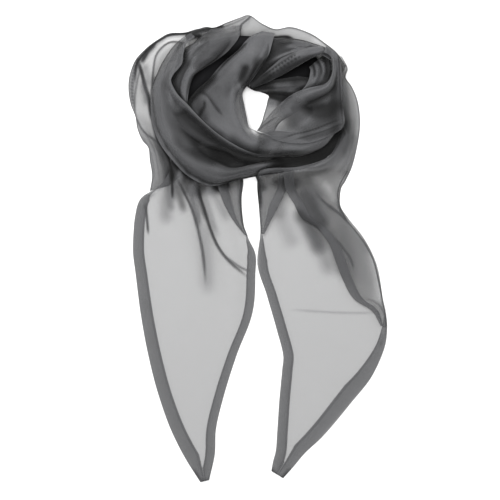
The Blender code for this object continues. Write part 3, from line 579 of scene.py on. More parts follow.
TOP_BACK = Stretch(sections=[
    (-73, 212.5, -66, 192), (-58, 219.5, -54, 196), (-52, 221.1, -49, 196.5),
    (-46, 220.3, -43, 197), (-30, 226, -28, 196), (-18, 230.5, -15, 194), (-10, 233, -6, 194),
    (4, 224.5, 7, 194), (17, 219, 20, 194), (32, 221, 34, 193), (44, 218, 46, 191),
    (57, 212, 56, 188), (68, 204, 63, 182), (77, 197, 69, 176), (88, 182, 78, 164),
], creases=[
    (0, (0, 0, 1, 0, 0, 0, 0)), (0.18, (1, 1.5, 4, 1, 2, 2, 1)),
    (0.4, (0.5, 0.5, 3, 0.5, 1, 1, 0.5)), (0.65, (1, 3, 3, 1, 2.5, 2.5, 1)), (1, 0),
], folds=[
    ((-6, 236, -9.5, 229.5, -13, 226.5, -16.7, 223, -17.7, 219, -18.4, 214, -18, 204),
      0.8, 0.8, 4, 0.5),
    ((52, 214, 62, 207, 71, 200, 79, 191), 0, 5, -0.4),
    ((-71, 212.2, -66, 214.2, -61, 216.4, -56, 217.8, -51, 219, -46, 219.2, -41, 220.2,
      -33, 222.5), 0.3, 1.6, 8, 3),
    ((-80, 211.6, -75, 211.8, -70, 211.6, -65, 212, -60, 212.4, -55, 211.6), 0, 2, 5.5, 1.8),
    ((-77, 206, -71, 206.4, -65, 206.6, -59, 208), 0, 3, -0.3),
    ((6, 206, 14, 209, 22, 210.4, 29, 210.6, 37, 208), 0, 1.6, 5, 2),
    ((-2, 215, 10, 219, 32, 220.2, 48, 216, 61, 208, 74, 198, 84, 186), 0.4, 0.8, 0.4),
    ((-52, 216, -42, 219, -30, 222.5, -18, 227.5, -8, 233), 0.3, 0.9, 1.3),
    ((-52, 214, -42, 216, -30, 218.5, -22, 220.5, -12, 224), 0.3, 1, 0.6),
    ((-36, 219, -29, 219, -22, 218, -14, 216), 0, 3, -0.5),
], plies=[
    (1, 1, 1, 3), (1.05, 1.05, 2, 3), (1.15, 1.15, 2, 3), (1.05, 1, 1.3, 3), (0.9, 0.8, 0.9, 2),
])

lay(
    "loop_across_top", "top_back", TOP_BACK, "sheer_chiffon", "laid",
    flat=(0.03, 0.18), rests_on=[loop_left],
)

# ---------------- left tail
# The strip's left end, cut to a point and hemmed all round with a turned, stitched hem.
# It lies flat, and gathers into three soft creases where it goes under the front band.

TAIL_GRAIN = 1.35     # between the points of the tails' grids

TAIL_LEFT = Stretch(sections=[
    (-57.5, -234, -49, -232), (-72.2, -211, -43.4, -207), (-86, -184, -42.2, -182),
    (-99.4, -147, -34.6, -149), (-109.7, -107, -21.4, -107), (-117.1, -67, -5.9, -66),
    (-122.6, -24, -2.7, -27), (-125, -4, -3.2, -4), (-124.9, 8, -9, 8), (-124.2, 20, -13.5, 20),
    (-123.2, 30, -15.4, 32), (-116.8, 50, -16.3, 51), (-100, 61, -14.8, 68), (-89, 76, -22, 88),
    (-86, 98, -36, 103),
], creases=[
    (0, (0, 0, 0, 0, 0, 1)), ((0.12, 0.12, 0.12, 0.12, 0.13, 0.05), (0, 0, 0, 0, 0.3, 0.5)),
    ((0.28, 0.28, 0.28, 0.28, 0.27, 0.12), (0, 0, 0, 0, 2.5, 5)),
    ((0.42, 0.42, 0.42, 0.45, 0.4, 0.2), (0, 0, 0, 0, 0.3, 1)),
    ((0.55, 0.55, 0.55, 0.6, 0.54, 0.3), (0, 0, 0, 1.5, 5, 6)),
    ((0.7, 0.7, 0.7, 0.74, 0.61, 0.4), (0, 0, 0, 0, 0.8, 1)),
    ((0.85, 0.85, 0.85, 0.88, 0.68, 0.52), (0, 0, 0, 2, 4.5, 5)),
    ((0.93, 0.93, 0.93, 0.95, 0.84, 0.75), (0, 0, 0, 0, 0.3, 0.5)), (1, 0),
], folds=[
    ((-97, 104, -92, 94, -88.8, 84, -86.5, 74, -86, 62), 0.5, (2.2, 2.4), 8, 4),
    ((-88, 86, -86.5, 74, -85.8, 62, -85.7, 48), 0.3, 1, 6, 3),
    ((-101, 110, -93, 95, -82, 82, -71, 73, -64, 66), 0, 2.2, 4, 2),
    ((-100, 106, -90, 88, -76, 73, -62, 63, -46, 59, -30, 63, -16, 68), 0, (4.5, 4.8), 1.7),
    ((-95, 88, -94, 78, -92, 68, -92, 60), 0, 4, 2, 0.3),
    ((-116, 44, -110, 50.5, -103, 57, -95, 63, -85, 70), 0.3, (1.6, 1.8), 0.5),
    ((-90, 72, -89, 60, -88, 48, -86, 34), 0, 3.5, 0.8, 0.1),
    ((-89, 80, -84, 68, -80, 57, -76.6, 46, -73, 32), 0, 3.6, 1.2, 0.2),
    ((-87, 70, -84.5, 58, -83, 45), 0, 2.6, 0.5),
    ((-82, 84, -77, 71, -72, 60, -68, 50), 0.4, 5.2, 1.4),
    ((-70, 76, -64, 67, -60, 58, -57, 48), 0, 2.4, 2.2, 0.8),
    ((-72, 66, -67, 53, -64, 42, -61, 29, -60, 18), 0.3, 2.6, 1.8),
    ((-88, 82, -84, 74, -78, 64, -74, 56, -70, 48, -66, 39, -63, 30, -60.5, 21, -58.5, 12, -56, 0,
      -54, -16, -52, -40), 0.8, 1.1, 2.6, 0.9),
    ((-72, 80, -64, 67, -60, 58, -57.4, 50, -54.6, 42, -51.8, 33, -49, 23.4, -45.4, 13.6, -41, 3.6,
      -34.6, -6.2, -25.4, -16, -15, -25, -7, -32), 0.8, (1, 1.3), 3, 0.9),
    ((-62, 72, -57, 60, -52, 48, -48, 35, -44, 22, -38, 8), 0, (3, 3.6), 0.6),
    ((-67, 70, -62, 58, -58, 46, -54, 34, -51, 24), 0, 2.2, 1.2),
    ((-68, 68, -62, 50, -59.5, 36, -58, 20), 0.4, 1.6, 0.6),
    ((-52, 66, -47, 58, -41, 48, -35, 37, -28, 24), 0, (4, 5), 0.4),
    ((-46, 64, -41, 61, -36, 61, -28, 65), 0, 2.6, 6, 3.5),
    ((-32, -8, -23, -15.4, -15, -20.6, -6, -23.6), 0.4, 0.9, 1.4),
    ((-112.6, 48, -111.8, 37, -110.8, 26, -109.6, 12), -0.1, 1.1, 2.4, 0.6),
    ((-86, 76, -89, 62, -91.4, 48, -92, 36, -91, 20), 0.3, 6, 0.6),
    ((-58, 34, -54, 14, -52, -8, -50, -52), 0.4, 7, 0.45),
    ((-66, -218, -61, -227, -57, -232, -50, -232.5, -46, -226, -44, -212), 0, 1.4, 3, 0.5),
    ((-70, 78, -66, 70, -64, 60, -64, 48), 0, 3, 1.6, 0.4),
    ((-22, 76, -19.4, 62, -18, 48, -17, 32), 0, 2, 0.9, 0.1),
], hem_left=Hem(60, 48, 10.4, 15.2), hem_right=Hem(14, -8, 8.9, 9.9), grain=TAIL_GRAIN)

tail_left = lay(
    "tail_left_cloth", "tail_left", TAIL_LEFT, "sheer_chiffon", "laid",
    flat=(0.12, 0.34), area=0.0272, rests_on=[loop_left],
)

# The tail's inner margin, turned over on it above its widest place, so that the hem
# shows as a darker band across the two plies.

TAIL_LEFT_TURNOVER = Stretch(sections=[
    (-14, 14, -10.5, 12), (-23.5, 26, -15.2, 25), (-31, 38, -16.5, 36), (-37.5, 53, -17, 52),
    (-42, 68, -15.2, 67), (-45, 80, -16, 83),
], creases=[
    (0, 0), (0.5, (0.3, 0.6, 1)), (1, 0),
], folds=[
    ((-41, 62, -37, 51, -32, 40, -25, 27, -15, 15), 0.3, 0.9, 2, 0.3),
    ((-15, 82, -16.6, 68, -17, 56, -16.8, 43, -16, 30, -13, 16), 0, 1.1, 4.5, 1.3),
], hem_left=Hem(0, 1))

lay(
    "tail_left_margin", "tail_left_turnover", TAIL_LEFT_TURNOVER, "sheer_chiffon", curl=1,
    flat=(0.018, 0.075), rests_on=[tail_left],
)

# ---------------- hidden layers
# The plies that no side shows whole: the rest of the strip, wound round the hole in a
# flat roll, its sides stepped where one ply ends over the next.

ROLL_MIDDLE = (-2.0, 140.0)
ROLL_HEIGHT = 11.0
ROLL_INNER = (58, 38, 28, 28, 26, 22, 20, 20, 24, 32, 34, 44)  # every 30 degrees
ROLL_OUTER = (82, 82, 72, 72, 80, 90, 86, 62, 44, 42, 44, 66)
ROLL_SIDE = 0.7       # below 1, its sides are steeper than an oval's
ROLL_TOP = 0.62       # above a half, its top and bottom are flat
ROLL_PLIES = 7
ROLL_STEP = 0.03      # share of the roll's width that each ply steps in
ROLL_ANGLES = 240
ROLL_POINTS = 96


def roll_section(count):
    """Section of the roll from the inner side over the top to the outer side and back along
    the bottom: a flattened oval whose sides step in and out by a small saw at each ply."""
    turn = np.linspace(0.0, 2 * np.pi, count, endpoint=False)
    side = np.cos(turn)
    across = 0.5 - 0.5 * np.sign(side) * np.abs(side) ** ROLL_SIDE
    up = np.clip(0.5 + ROLL_TOP * np.sin(turn), 0.0, 1.0)
    saw = (up * ROLL_PLIES) % 1.0
    return across + np.sign(across - 0.5) * np.abs(side) ** 2 * ROLL_STEP * (saw - 1), up


def round_hole(radii, turn):
    """Smooth closed curve through radii at even angles round the hole."""
    step = 360 // len(radii)
    angles = np.arange(-2 * step, 360 + 2 * step, step)
    wrapped = np.array(radii[-2:] + radii + radii[:2], float)
    return smooth(angles.astype(float), wrapped, turn)[:, None]


def hidden_roll():
    """Points of the roll: a section carried round the hole, between an inner and an outer
    radius at each angle, on the pile below it."""
    turn = np.linspace(0.0, 360.0, ROLL_ANGLES, endpoint=False)
    inner, outer = round_hole(ROLL_INNER, turn), round_hole(ROLL_OUTER, turn)
    across, up = roll_section(ROLL_POINTS)
    radius = inner + (outer - inner) * across
    angle = np.radians(turn)[:, None]
    x = ROLL_MIDDLE[0] + radius * np.cos(angle)
    y = ROLL_MIDDLE[1] + radius * np.sin(angle)
    return np.stack([x, y, pile.read(pile.floor(), x, y) + ROLL_HEIGHT * up], axis=2)


def hidden_chiffon():
    """Many plies of the chiffon together, coloured near black as painted shade for the deep
    gaps between the strands; uneven and without gloss.
    """
    cloth = Shader("layered_chiffon_painted_shade")
    place = cloth.node("ShaderNodeTexCoord", {}, {}, "Object")
    grain = cloth.noise(place, 900.0)
    cloud = cloth.noise(place, 70.0)
    tone = grain * 0.8 + cloud * 0.6 - 0.2
    cloth.join(cloth.surface, {
        # near-black thread colours: painted shade for the gaps, far darker than the cloth's own
        # grey
        "Base Color": cloth.with_painted_shade(tone, (0.004, 0.004, 0.0045), (0.012, 0.012, 0.013)),
        "Roughness": 0.8 + cloud * 0.15,
        "Normal": cloth.bump(grain, 0.4, 0.0002),
        "Specular IOR Level": 0.06,
    })
    return cloth.material


points = hidden_roll()
numbers = np.arange(ROLL_ANGLES * ROLL_POINTS).reshape(ROLL_ANGLES, ROLL_POINTS)
quads = grid_faces(np.pad(numbers, (0, 1), mode="wrap")).reshape(-1, 4)[:, ::-1]
hidden = new_piece("hidden_plies", points, quads.tolist(), hidden_chiffon())
# the roll takes the painted shade of the hollows too
hidden.data.attributes.new("painted_shade", "FLOAT", "POINT")
pile.add(points[..., 0], points[..., 1], points[..., 2] - LAYER + LIFT)
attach(hidden, "root")
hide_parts("hidden_layers")
pieces.append(hidden)

# ---------------- inside the ring
# The layers that show right of the hole, under the rolled hem: a soft roll over a
# flatter ply, and three curved pleats at the pocket's right end.

INNER_BACK = Stretch(sections=[
    (-14, 163.5, 40, 172), (-4, 157.5, 60, 168), (4, 155.5, 72, 160), (10.6, 152.1, 70, 150),
    (9.6, 147.9, 60, 146.1), (8.6, 143, 50, 142), (6, 134, 34, 133), (3.8, 126, 22, 125.5),
    (-0.5, 117.5, 14, 112),
], creases=[
    (0, (-6, -2, -5, -3, -3, -3)), (0.15, (-4, 3, -4, 0, 0, 0)), (0.4, (-4, 5, -4, 1, 1, 0)),
    (0.7, (-4, 4, -3, 1, 0, 0)), (1, (-4, 0, -3, 0, 0, 0)),
], folds=[
    ((-4, 158, 4, 155.5, 10, 152.5, 17, 149.7, 26, 148.2, 38, 150), -1, (1.8, 1.5), 4, 2.2),
    ((-26, 168, -15, 165, -4, 163, 8, 161.5, 20, 160.5), 0, 5.5, 3, 3.4),
    ((-20, 161, -6, 157, 4, 155, 13, 153, 26, 152), 0, (2.4, 2.8), 0, 1.5),
    ((-12, 167, 8, 167.5, 26, 169.5, 44, 170.5, 62, 170), 0, (4, 3), 0, 2),
    ((-8, 161, 10, 162, 30, 164.5, 52, 166), 0, 4, 0, 0.7),
    ((6, 158, 22, 157.5, 42, 159.5, 60, 161), 0, (1.5, 2.5), 0, -1),
    ((6, 154, 13, 149, 21, 147, 32, 147), 0, (3, 5), 1.6, 0.4),
    ((20, 132, 12, 127, 4, 121, 0, 117), 0.2, 0.8, 1.2),
    ((30, 166, 39, 165.4, 47, 166, 56, 168), 0, 4, 0, 1),
    ((19, 154, 15, 144, 9, 134, 4, 124, -2, 112), 0, 8, 0, -1.5),
], plies=[5, 6, 6, 2.2, 1.6, 1.1, 1.3])

INNER_PLEATS = Stretch(sections=[
    (67, 194.5, 51, 181), (71.5, 190, 52.5, 178), (74, 183, 52, 174), (74, 175, 51, 169),
    (71, 167, 48, 163), (64, 161, 44, 158),
], creases=[
    (0, 0), (0.12, (2.5, 2, 1.2, 0.5)), (0.25, 0.3), (0.4, (3, 2.5, 1.2, 0.5)), (0.54, 0.3),
    (0.68, (3, 2, 1, 0.5)), (0.84, 0.3), (1, 0.5),
], folds=[
    ((49, 187, 53.6, 184, 56.5, 178, 56.4, 169), -0.8, 1.2, 0, 1.8),
    ((56, 190, 61, 185, 63.5, 179, 63, 171), -0.8, 1.1, 0, 1.2),
    ((62, 193, 67, 187, 69, 180, 68, 170), -0.8, 1.2, 0, 1.2),
    ((69, 193, 72.5, 184, 72, 174, 67, 165), 0, 3, 0, 1.1),
    ((36, 174, 45, 181.5, 52, 186.5, 60, 191, 70, 193.5, 80, 192), 0, (3.5, 5), 0, 1.9),
], plies=[5])

inner_back = lay("inner_roll", "inner_back", INNER_BACK, flat=(0.035, 0.07), rests_on=[hidden])
lay(
    "inner_pleats_cloth", "inner_pleats", INNER_PLEATS, flat=(0.024, 0.034), rests_on=[inner_back]
)

# ---------------- band at the top
# The strip's next turn, across the ring's top right and down towards the hole.

BAND_TOP = Stretch(sections=[
    (0, 212, -9, 161.5), (12, 210, 4, 168), (28, 210, 22, 182), (42, 208.5, 39, 190),
    (56, 204.5, 54, 195), (68, 200, 64, 193), (78, 193, 72, 188),
], creases=[
    (0, (-12, -9, -9, -9)), (0.14, (-1, 1, 1, -2)), (0.36, (-1, -4, 1, 1)), (0.62, (2, 2, 5, 2)),
    (0.84, (0, 0, 3, 1)), (1, (-2, -2, 2, 1)),
], folds=[
    ((-2, 168, 4, 180, 10, 191, 17, 200, 26, 205, 39, 206), 0, 5.5, 0, 1.2),
    ((6, 202, 16, 207, 27, 208.5, 39, 206.5), 0, 4, 0, 0.9),
    ((4, 190, 14, 196, 25, 201, 39, 204), 0, (5, 4), 0, 0.8),
    ((10, 180, 22, 189.5, 33, 195, 45, 199.5, 56, 202, 70, 202), 0.3, (3, 3.2), 0, -1.5),
    ((22, 201, 34, 202.2, 46, 202.6, 58, 201.6, 72, 199, 84, 193), 0, (2.2, 2.6), 0, -1.8),
], plies=[(3, 5, 6)])

band_top = lay("band_across_top", "band_top", BAND_TOP, flat=(0.03, 0.09), rests_on=[hidden])

# ---------------- rolled hem
# The band's lower edge, rolled over with its stitched hem outside.

HEM_ROLL = Stretch(sections=[
    (-8, 163, -6, 160), (4, 173, 8, 165), (14, 182, 24, 173), (24, 190, 40, 182),
    (38, 196, 52, 189), (54, 201, 63, 194), (64, 202, 68, 196),
], creases=[
    (0, -1), (0.15, (0, 3, 5, 3)), (0.45, (0, 5, 8, 5)), (0.8, (0, 3, 7, 4)), (1, (-1, 0, 2, 1)),
], folds=[
    ((-18, 154, 4, 172, 17, 183, 32, 192, 47, 199, 66, 203), 0.8, (0.7, 0.9)),
    ((-12, 159, 4, 171.2, 17, 181.2, 27, 188.2, 37, 194.2, 47, 198, 64, 203), -0.7, 0.9, 0, 1),
    ((0, 168, 9, 174.5, 17, 180, 25, 185.5, 33, 190.5, 44, 196), 0.3, 0.9, 0, 2, 3.7),
    ((2, 165, 11, 172, 20, 178, 29, 184, 38, 189.5, 48, 195), 0.3, 1, 0, 1.8, 4.3),
    ((-15, 152, 0, 161.5, 10, 168.5, 20, 174.5, 30, 180, 40, 185, 52, 189.5, 70, 194),
      0, 4, 0, 1.7),
    ((-20, 155, -8, 161.6, 0, 166, 8, 171, 18, 177), 0, 4, 0, 2),
    ((34, 193, 44, 197, 54, 199, 64, 199, 78, 195), 0, 3, 0, -2.2),
], plies=[6])

lay("rolled_hem", "hem_roll", HEM_ROLL, flat=(0.017, 0.09), rests_on=[band_top])

# ---------------- centre strand
# The strand that comes over the ring's top and runs round the left of the hole.

STRAND_CENTRE = Stretch(sections=[
    (4, 217, 17, 214.5), (-8, 211, 14.5, 206), (-20, 198, 11, 194), (-36, 184, 3, 181),
    (-50, 168, -6, 168), (-64, 155, -15.6, 154), (-72, 142, -13.8, 143), (-63, 128, -11.5, 131),
    (-48, 115, -9, 121), (-31, 103, -3, 117.5), (-12, 94, 8, 113), (8, 91, 22, 109),
], creases=[
    (0, (-14, -8, -8, -8, -6, -2, -2, -2)), (0.06, (-12, 0, 0, 0, 0, 1, 1, 1)),
    (0.22, (-10, 8, 7, 6, 5, 5, 4, 2)), ((0.45, 0.45, 0.5, 0.5, 0.5), (-9, 10, 11, 9, 8, 8, 6, 3)),
    ((0.7, 0.72, 0.75, 0.75, 0.72), (-10, 8, 8, 6, 6, 6, 5, 3)),
    (0.92, (-11, 3, 5, 5, 5, 5, 4, 2)), (1, (-14, -5, -4, -3, 0, 2, 2, 0)),
], folds=[
    ((-71, 148, -68, 153, -63, 155.5, -56, 155, -50, 151, -45, 144, -39, 136, -32, 129),
      -2, (2.5, 1)),
    ((-54, 150, -53, 142, -56, 136, -60, 127), -2.5, (1, 2)),
    ((-11, 186, -12.4, 179, -14.2, 172, -16, 164, -17, 156), -1.4, (3.8, 4.6), 0, 1.6),
    ((2, 192, -4, 179, -9, 168, -13, 160, -16, 153), 0, (2.2, 2.6), 0, 2.2),
    ((8, 196, 2, 185, -5, 174, -11, 164, -15, 156), 0, (4.5, 4), 0, 0.9),
    ((-16, 210, -6, 212, 4, 214, 14, 215, 24, 213), 0, 7, 0, -2.6),
    ((14, 220, 13, 212, 12, 204, 9, 196, 4, 186), 0, 3.5, 0, -1.6),
    ((-76, 140, -66, 150, -58, 156.5, -52, 162, -46, 168, -39, 176), 0, (10, 3), 0, 2.8),
    ((-60, 152, -52, 156, -45, 159.4, -36, 164), 0, 4, 0, 0.35),
    ((-68, 149, -61, 149, -56, 143, -58, 132), 0, 5, 0, 0.9),
    ((-18, 184, -30, 171, -39, 160, -43, 148, -39, 136, -30, 124), 0, 9, 0, 0.45),
    ((-69, 150, -63, 143, -56, 135, -48, 126), 0, 5, 0, 0.8),
    ((-78, 152, -64, 136, -50, 123, -36, 111, -20, 101, -6, 95), 0, (3, 3.5), 0, -1.4),
    ((-20.4, 176, -21, 164, -20.8, 151, -19, 138, -15.4, 126, -9, 114, -2, 102),
      0, (4.4, 4.6), -5, -2.2),
    ((-12, 124, -2, 117, 8, 111.5, 18, 108, 32, 105), 0, 4, -4.2, -0.8),
    ((-32, 114, -18, 103.5, -6, 99, 6, 99), 0, 5, 0, 0.9),
    ((-10, 129, -7, 122, -4, 116, -1, 110, 1, 103), 0, 2.6, -2.4),
], plies=[(3, 7, 7, 7)])

strand_centre = lay(
    "strand_round_hole", "strand_centre", STRAND_CENTRE, flat=(0.052, 0.165), rests_on=[hidden]
)

# ---------------- upper left strand
# The strand at the ring's upper left, between the centre strand and the front band.

SHOULDER_LEFT = Stretch(sections=[
    (-47, 219, -17, 223), (-56, 212, -19, 211), (-62, 206.5, -27, 200), (-76, 197.5, -41, 188),
    (-83, 181, -55, 179), (-86, 166, -64, 172), (-86, 152, -69, 158), (-80, 138, -71, 143),
], creases=[
    (0, (-6, -8, -8, -8, -6)), ((0.1, 0.2, 0.3, 0.32, 0.3), (-3, -2, -3, -4, -2)),
    ((0.3, 0.4, 0.5, 0.52, 0.5), (-2, 5, 4, 3, 1)),
    ((0.55, 0.62, 0.7, 0.72, 0.7), (-2, 7, 8, 6, 1)),
    ((0.85, 0.85, 0.9, 0.9, 0.9), (-4, 2, 3, 3, 0)), (1, (-4, -6, -6, -6, -4)),
], folds=[
    ((-64, 180, -55, 187, -46, 190, -38, 191), 1, (2.5, 2)),
    ((-51, 214, -50, 206, -50, 196, -52, 188), -0.8, (1, 2)),
    ((-68, 208, -71, 198, -73, 190, -77, 182, -82, 174, -84, 165, -82, 156, -77.5, 149, -69, 138),
      0, 2.9, 0, 2.2),
    ((-62, 202, -65, 192, -68, 182, -70.5, 172, -72, 160, -71, 150), 0, 4, 0, -0.6),
    ((-70, 203, -64, 205.5, -58, 209.5, -52, 214), 0, 3, -0.5),
    ((-10, 216, -20, 203, -32, 195, -44, 190, -55, 184, -64, 174), 0, 7, 0, 0.5),
    ((-51, 201, -57, 193, -61, 185, -65, 175), 0, 4.6, 0, 0.6),
    ((-60, 198, -48, 201, -34, 203, -18, 204), 0, 6, 0, 0.6),
    ((-36, 218, -29, 218.4, -22, 218.4, -12, 217), 0, 3, -0.3),
], plies=[(1.3, 1.5, 1.6), (3, 5, 6), (3, 5, 6), (3, 5, 6), (3, 5, 6)])

lay("strand_upper_left", "shoulder_left", SHOULDER_LEFT, flat=(0.033, 0.125), rests_on=[hidden])

# ---------------- front band
# The widest turn, round the ring's left and bottom, its inner edge hemmed.

BAND_FRONT = Stretch(sections=[
    (-67, 215, -63, 211), (-77, 209, -71, 205), (-87, 199, -74.5, 195), (-95.5, 186, -76, 184.5),
    (-101.5, 173, -85, 173), (-106.5, 162, -87, 167.5), (-107.5, 148, -82, 156),
    (-106, 126, -70, 143), (-99, 106, -56, 128), (-86, 88, -40, 114), (-68, 70.5, -23, 103),
    (-46, 62, -8, 96), (-22, 67.5, 4, 93.5), (-2, 71.5, 22, 95.5), (27, 76, 42, 99),
    (57, 83, 60, 108), (77, 98, 70, 118), (88, 114, 79, 130),
], creases=[
    (0, (-14, -6, -7, -7, -8, -9, -10, -10)), (0.08, (-12, -1, -1, 0, 1, -1, -8, -10)),
    ((0.3, 0.3, 0.3, 0.24, 0.26, 0.36, 0.4, 0.4), (-9, 3, 5, 7, 9, 7, -8, -10)),
    ((0.45, 0.45, 0.44, 0.46, 0.52, 0.64, 0.6, 0.6), (-9, 3, 4, 4, 7, 3, -8, -10)),
    ((0.6, 0.6, 0.64, 0.68, 0.66, 0.8, 0.8, 0.8), (-9, 3, 1, -5, -12, -6, -8, -10)),
    ((0.88, 0.88, 0.88, 0.9, 0.88, 0.92, 0.9, 0.9), (-9, 2, -1, -9, -12, -6, -8, -10)),
    (1, (-11, 2, 2, 1, 1, 0, -8, -10)),
], folds=[
    ((-92, 150, -78, 132, -62, 117, -46, 105, -30, 95, -16, 88, 0, 87), 0, (5, 11), 0, 1.6),
    ((-86, 150, -74, 137.5, -60.5, 125.4, -47, 113, -32, 102.2, -17, 94.6, -2, 89.6, 14, 86),
      0, (3, 3.2), 0, 2.6),
    ((-66, 99, -53, 95, -40, 91, -26, 89, -12, 89.6, 6, 90, 28, 90, 52, 92, 72, 98, 86, 106),
      0, (6, 2.8), 0, 2.2),
    ((-76, 106, -66, 98, -54, 91.5, -40, 88, -24, 87, -6, 89), 0, (6, 4.5), 0, 1.5),
    ((6, 80, 22, 84, 38, 86.5, 54, 89, 70, 95, 82, 103), 0, 4, 0, 2.8),
    ((-109, 152, -107, 136, -104, 122, -99, 108, -92, 95, -83, 83, -72, 74, -58, 67, -43, 64,
      -23, 67, -2, 72), 0, 3, 0, 0.1),
    ((-108, 138, -98, 116, -86, 97, -68, 81, -46, 72, -23, 73, -2, 77, 18, 82), 0, (6, 8), 0, 0.15),
    ((-88, 116, -80, 105, -71, 97, -60, 90, -48, 85, -34, 83), 0, 4, 0, 0.9),
    ((-88, 98, -75, 85, -60, 76, -44, 71.6, -23, 72.4, -2, 77, 20, 82), 0, 7, 0, 0.35),
    ((-105, 122, -97, 107, -88, 95, -78, 85), 0, (2.4, 2.6), 0, -0.8),
    ((-74, 205, -70, 206.5, -65, 208.5, -60, 212), 0, 2.6, -0.4),
    ((-80, 200, -83, 188, -87, 180, -90, 172, -89, 161, -86, 151, -78, 142, -66, 132, -52, 121,
      -36, 109, -20, 99, -4, 92), -0.3, 0.7, 0, 0.6, 3.1),
], plies=[
    (1, 1, 2, 2, 2), (1.2, 2, 4, 4, 3), (2, 3, 5, 5, 4), (3, 5, 6, 6, 5), (3, 5, 6, 6, 5),
    (4, 6, 6, 6, 5), (5, 6, 6, 6, 5), (5, 6, 6, 6, 6), (5, 6, 6, 6, 6),
], hem_right=Hem(-999, -998, 2.4, 2.4))

band_front = lay(
    "band_round_front", "band_front", BAND_FRONT, flat=(0.045, 0.32), rests_on=[hidden]
)

# ---------------- right tail
# The outer loop at the ring's right and the tail that comes out of it on top, cut to a
# point and hemmed like the other.

TAIL_RIGHT = Stretch(sections=[
    (75, 196, 84, 191), (79, 182, 89.5, 179), (80, 171, 87.5, 170.5), (80, 162.5, 93.4, 162),
    (80, 152, 98.4, 151), (80, 138, 101.4, 137), (81, 123, 101.9, 121), (79, 105, 99.2, 102),
    (68, 90, 94.3, 82), (42, 81.5, 87.9, 68), (2, 76.5, 82.4, 56), (-0.6, 67, 81.9, 45),
    (0.8, 41, 89.3, 31), (2.4, 16, 105, 11), (-0.7, -14, 117.8, -14), (8.8, -47, 125, -52),
    (18.9, -82, 129, -80), (25.2, -107, 126, -101), (24.2, -122, 115.6, -125),
    (21.4, -152, 92, -156), (19.4, -182, 64, -189), (17.6, -204, 45, -207), (15, -214, 35, -219),
    (13.5, -223, 25, -230),
], creases=[
    (0, (0, 1, 2, 1, 0, 0, 0, 0, 0)), ((0.1, 0.1, 0.06), (2, 3, 4, 2, 0, 0, 0, 0, 0)),
    ((0.3, 0.35, 0.25, 0.25, 0.25), (3, 4, 3, 2, 0, 0, 0, 0, 0)),
    ((0.5, 0.5, 0.5, 0.5, 0.5), (3, 3, 2, 0.5, 0, 0, 0, 0, 0)),
    ((0.75, 0.75, 0.65, 0.7, 0.75), (1, 1, 2, 1, 0, 0, 0, 0, 0)),
    ((0.92, 0.92, 0.85), (-2, -3, 0, 0, 0, 0, 0, 0, 0)), (1, (-9, -12, -9, 0, 0, 0, 0, 0, 0)),
], folds=[
    ((79, 198, 81.5, 186, 82, 176, 82.3, 164, 83, 153, 84.3, 140, 86, 124), -1.2, 0.9, 1.4, 0.5),
    ((62, 207, 71, 200, 78, 192, 83, 182), 0, 3, -0.4),
    ((83, 194, 85.5, 182, 86, 170, 86.5, 158, 87.5, 144), 1, 2.2, 0.8),
    ((84, 138, 87, 124, 88, 110, 85, 98, 76, 86), 0, 6, 0.5, 0.2),
    ((86, 162, 92, 150, 94, 138, 93, 124), 0, 4, -0.3),
    ((96, 120, 94, 106, 91, 90, 87, 79, 82, 68), 0, 4.5, 0.8, 0.1),
    ((60, 90, 68, 95, 75, 103, 80.5, 111, 84.6, 121, 87, 134), 0, (4.6, 4.8), 0.5, 1.3),
    ((-2, 71, 4, 75, 12, 78, 22, 79.5, 42, 81, 60, 82, 68, 85, 74, 90, 80, 96), 0.8, 1.3),
    ((10, 72, 26, 77, 42, 78.5, 58, 79.5, 72, 80), 0, 3.2, 0, -2),
    ((-8, 70, 0, 72.5, 8, 74.5, 18, 76, 34, 77.5), 0, 1.8, 0, -0.4),
    ((-9, 88, -4, 77, -1.2, 69, 0.2, 60, 1, 50, 1.5, 38), 0, 1.8, 6, 2.5),
    ((-4, 68, 8, 70, 22, 68, 38, 66, 56, 64), 0, 7.5, 1.2, 0.1),
    ((12, 68, 22, 66, 32, 65, 42, 62), 0, 4.5, 1.1, 0.3),
    ((47, 77, 52, 68, 57, 58, 63, 46), 0, (5, 4.6), 0.7, 0.1),
    ((70, 72, 74, 64, 77, 56, 81, 44), 0, 3.5, 0.3),
    ((48, 78, 58, 79, 69, 82, 78, 88, 85, 97), 0, (3, 4), 0, -1.6),
    ((110, 4, 117, -14, 121, -31, 123, -46, 126, -62), 0, (4, 7), -0.7),
    ((27, 68, 26, 52, 24, 40, 21, 24), 0, 6, 0.5),
    ((36, 42, 44, 32, 51, 22, 56.5, 12, 60.5, 2, 64, -10), 0, 7, 1.7, 0.15),
    ((46, 26, 56, 12, 63, -2, 69, -16, 74, -32), 0, 7, 0.6),
    ((60, 26, 70, 11, 77, -3, 82, -17, 87, -35), 0, 6, 0.8),
    ((14, 42, 22, 29, 30, 15, 38, -4), 0, 8, 0.35),
    ((116, -128, 104, -143, 92, -157, 80, -171, 68, -185, 54, -197), 0, (1.8, 1.6), -0.8),
    ((11.6, -210, 12.4, -220, 17, -226.6, 23, -230, 29, -226, 34, -218), 0, 1.8, 4, 1),
    ((78, 34, 86, 12, 92, -6, 94, -24, 92, -44), 0, 6, 0.35),
    ((102, -48, 122, -58, 128, -74, 125, -92, 116, -104), 0.3, 0.9, 0.8, 0.2),
    ((28, -61, 52, -63, 78, -64.5, 102, -65, 126, -64), 0.3, 1.2, 0.35),
], plies=[
    (1.2, 1, 1, 0.8), (4, 3, 2, 1.4), (4, 3, 2, 1.5), (1, 1, 1, 1), (1, 1, 1, 1), (1, 1, 1, 1),
    (1, 1, 1, 1), (1, 1, 1, 1), (1, 1, 1, 1),
], hem_left=Hem(18, -12, 10.2, 10.7), hem_right=Hem(-62, -138, 20.6, 15.8), grain=TAIL_GRAIN)

tail_right = lay(
    "tail_right_cloth", "tail_right", TAIL_RIGHT, "sheer_chiffon", "laid",
    flat=(0.12, 0.46), area=0.0305, rests_on=[band_front],
)

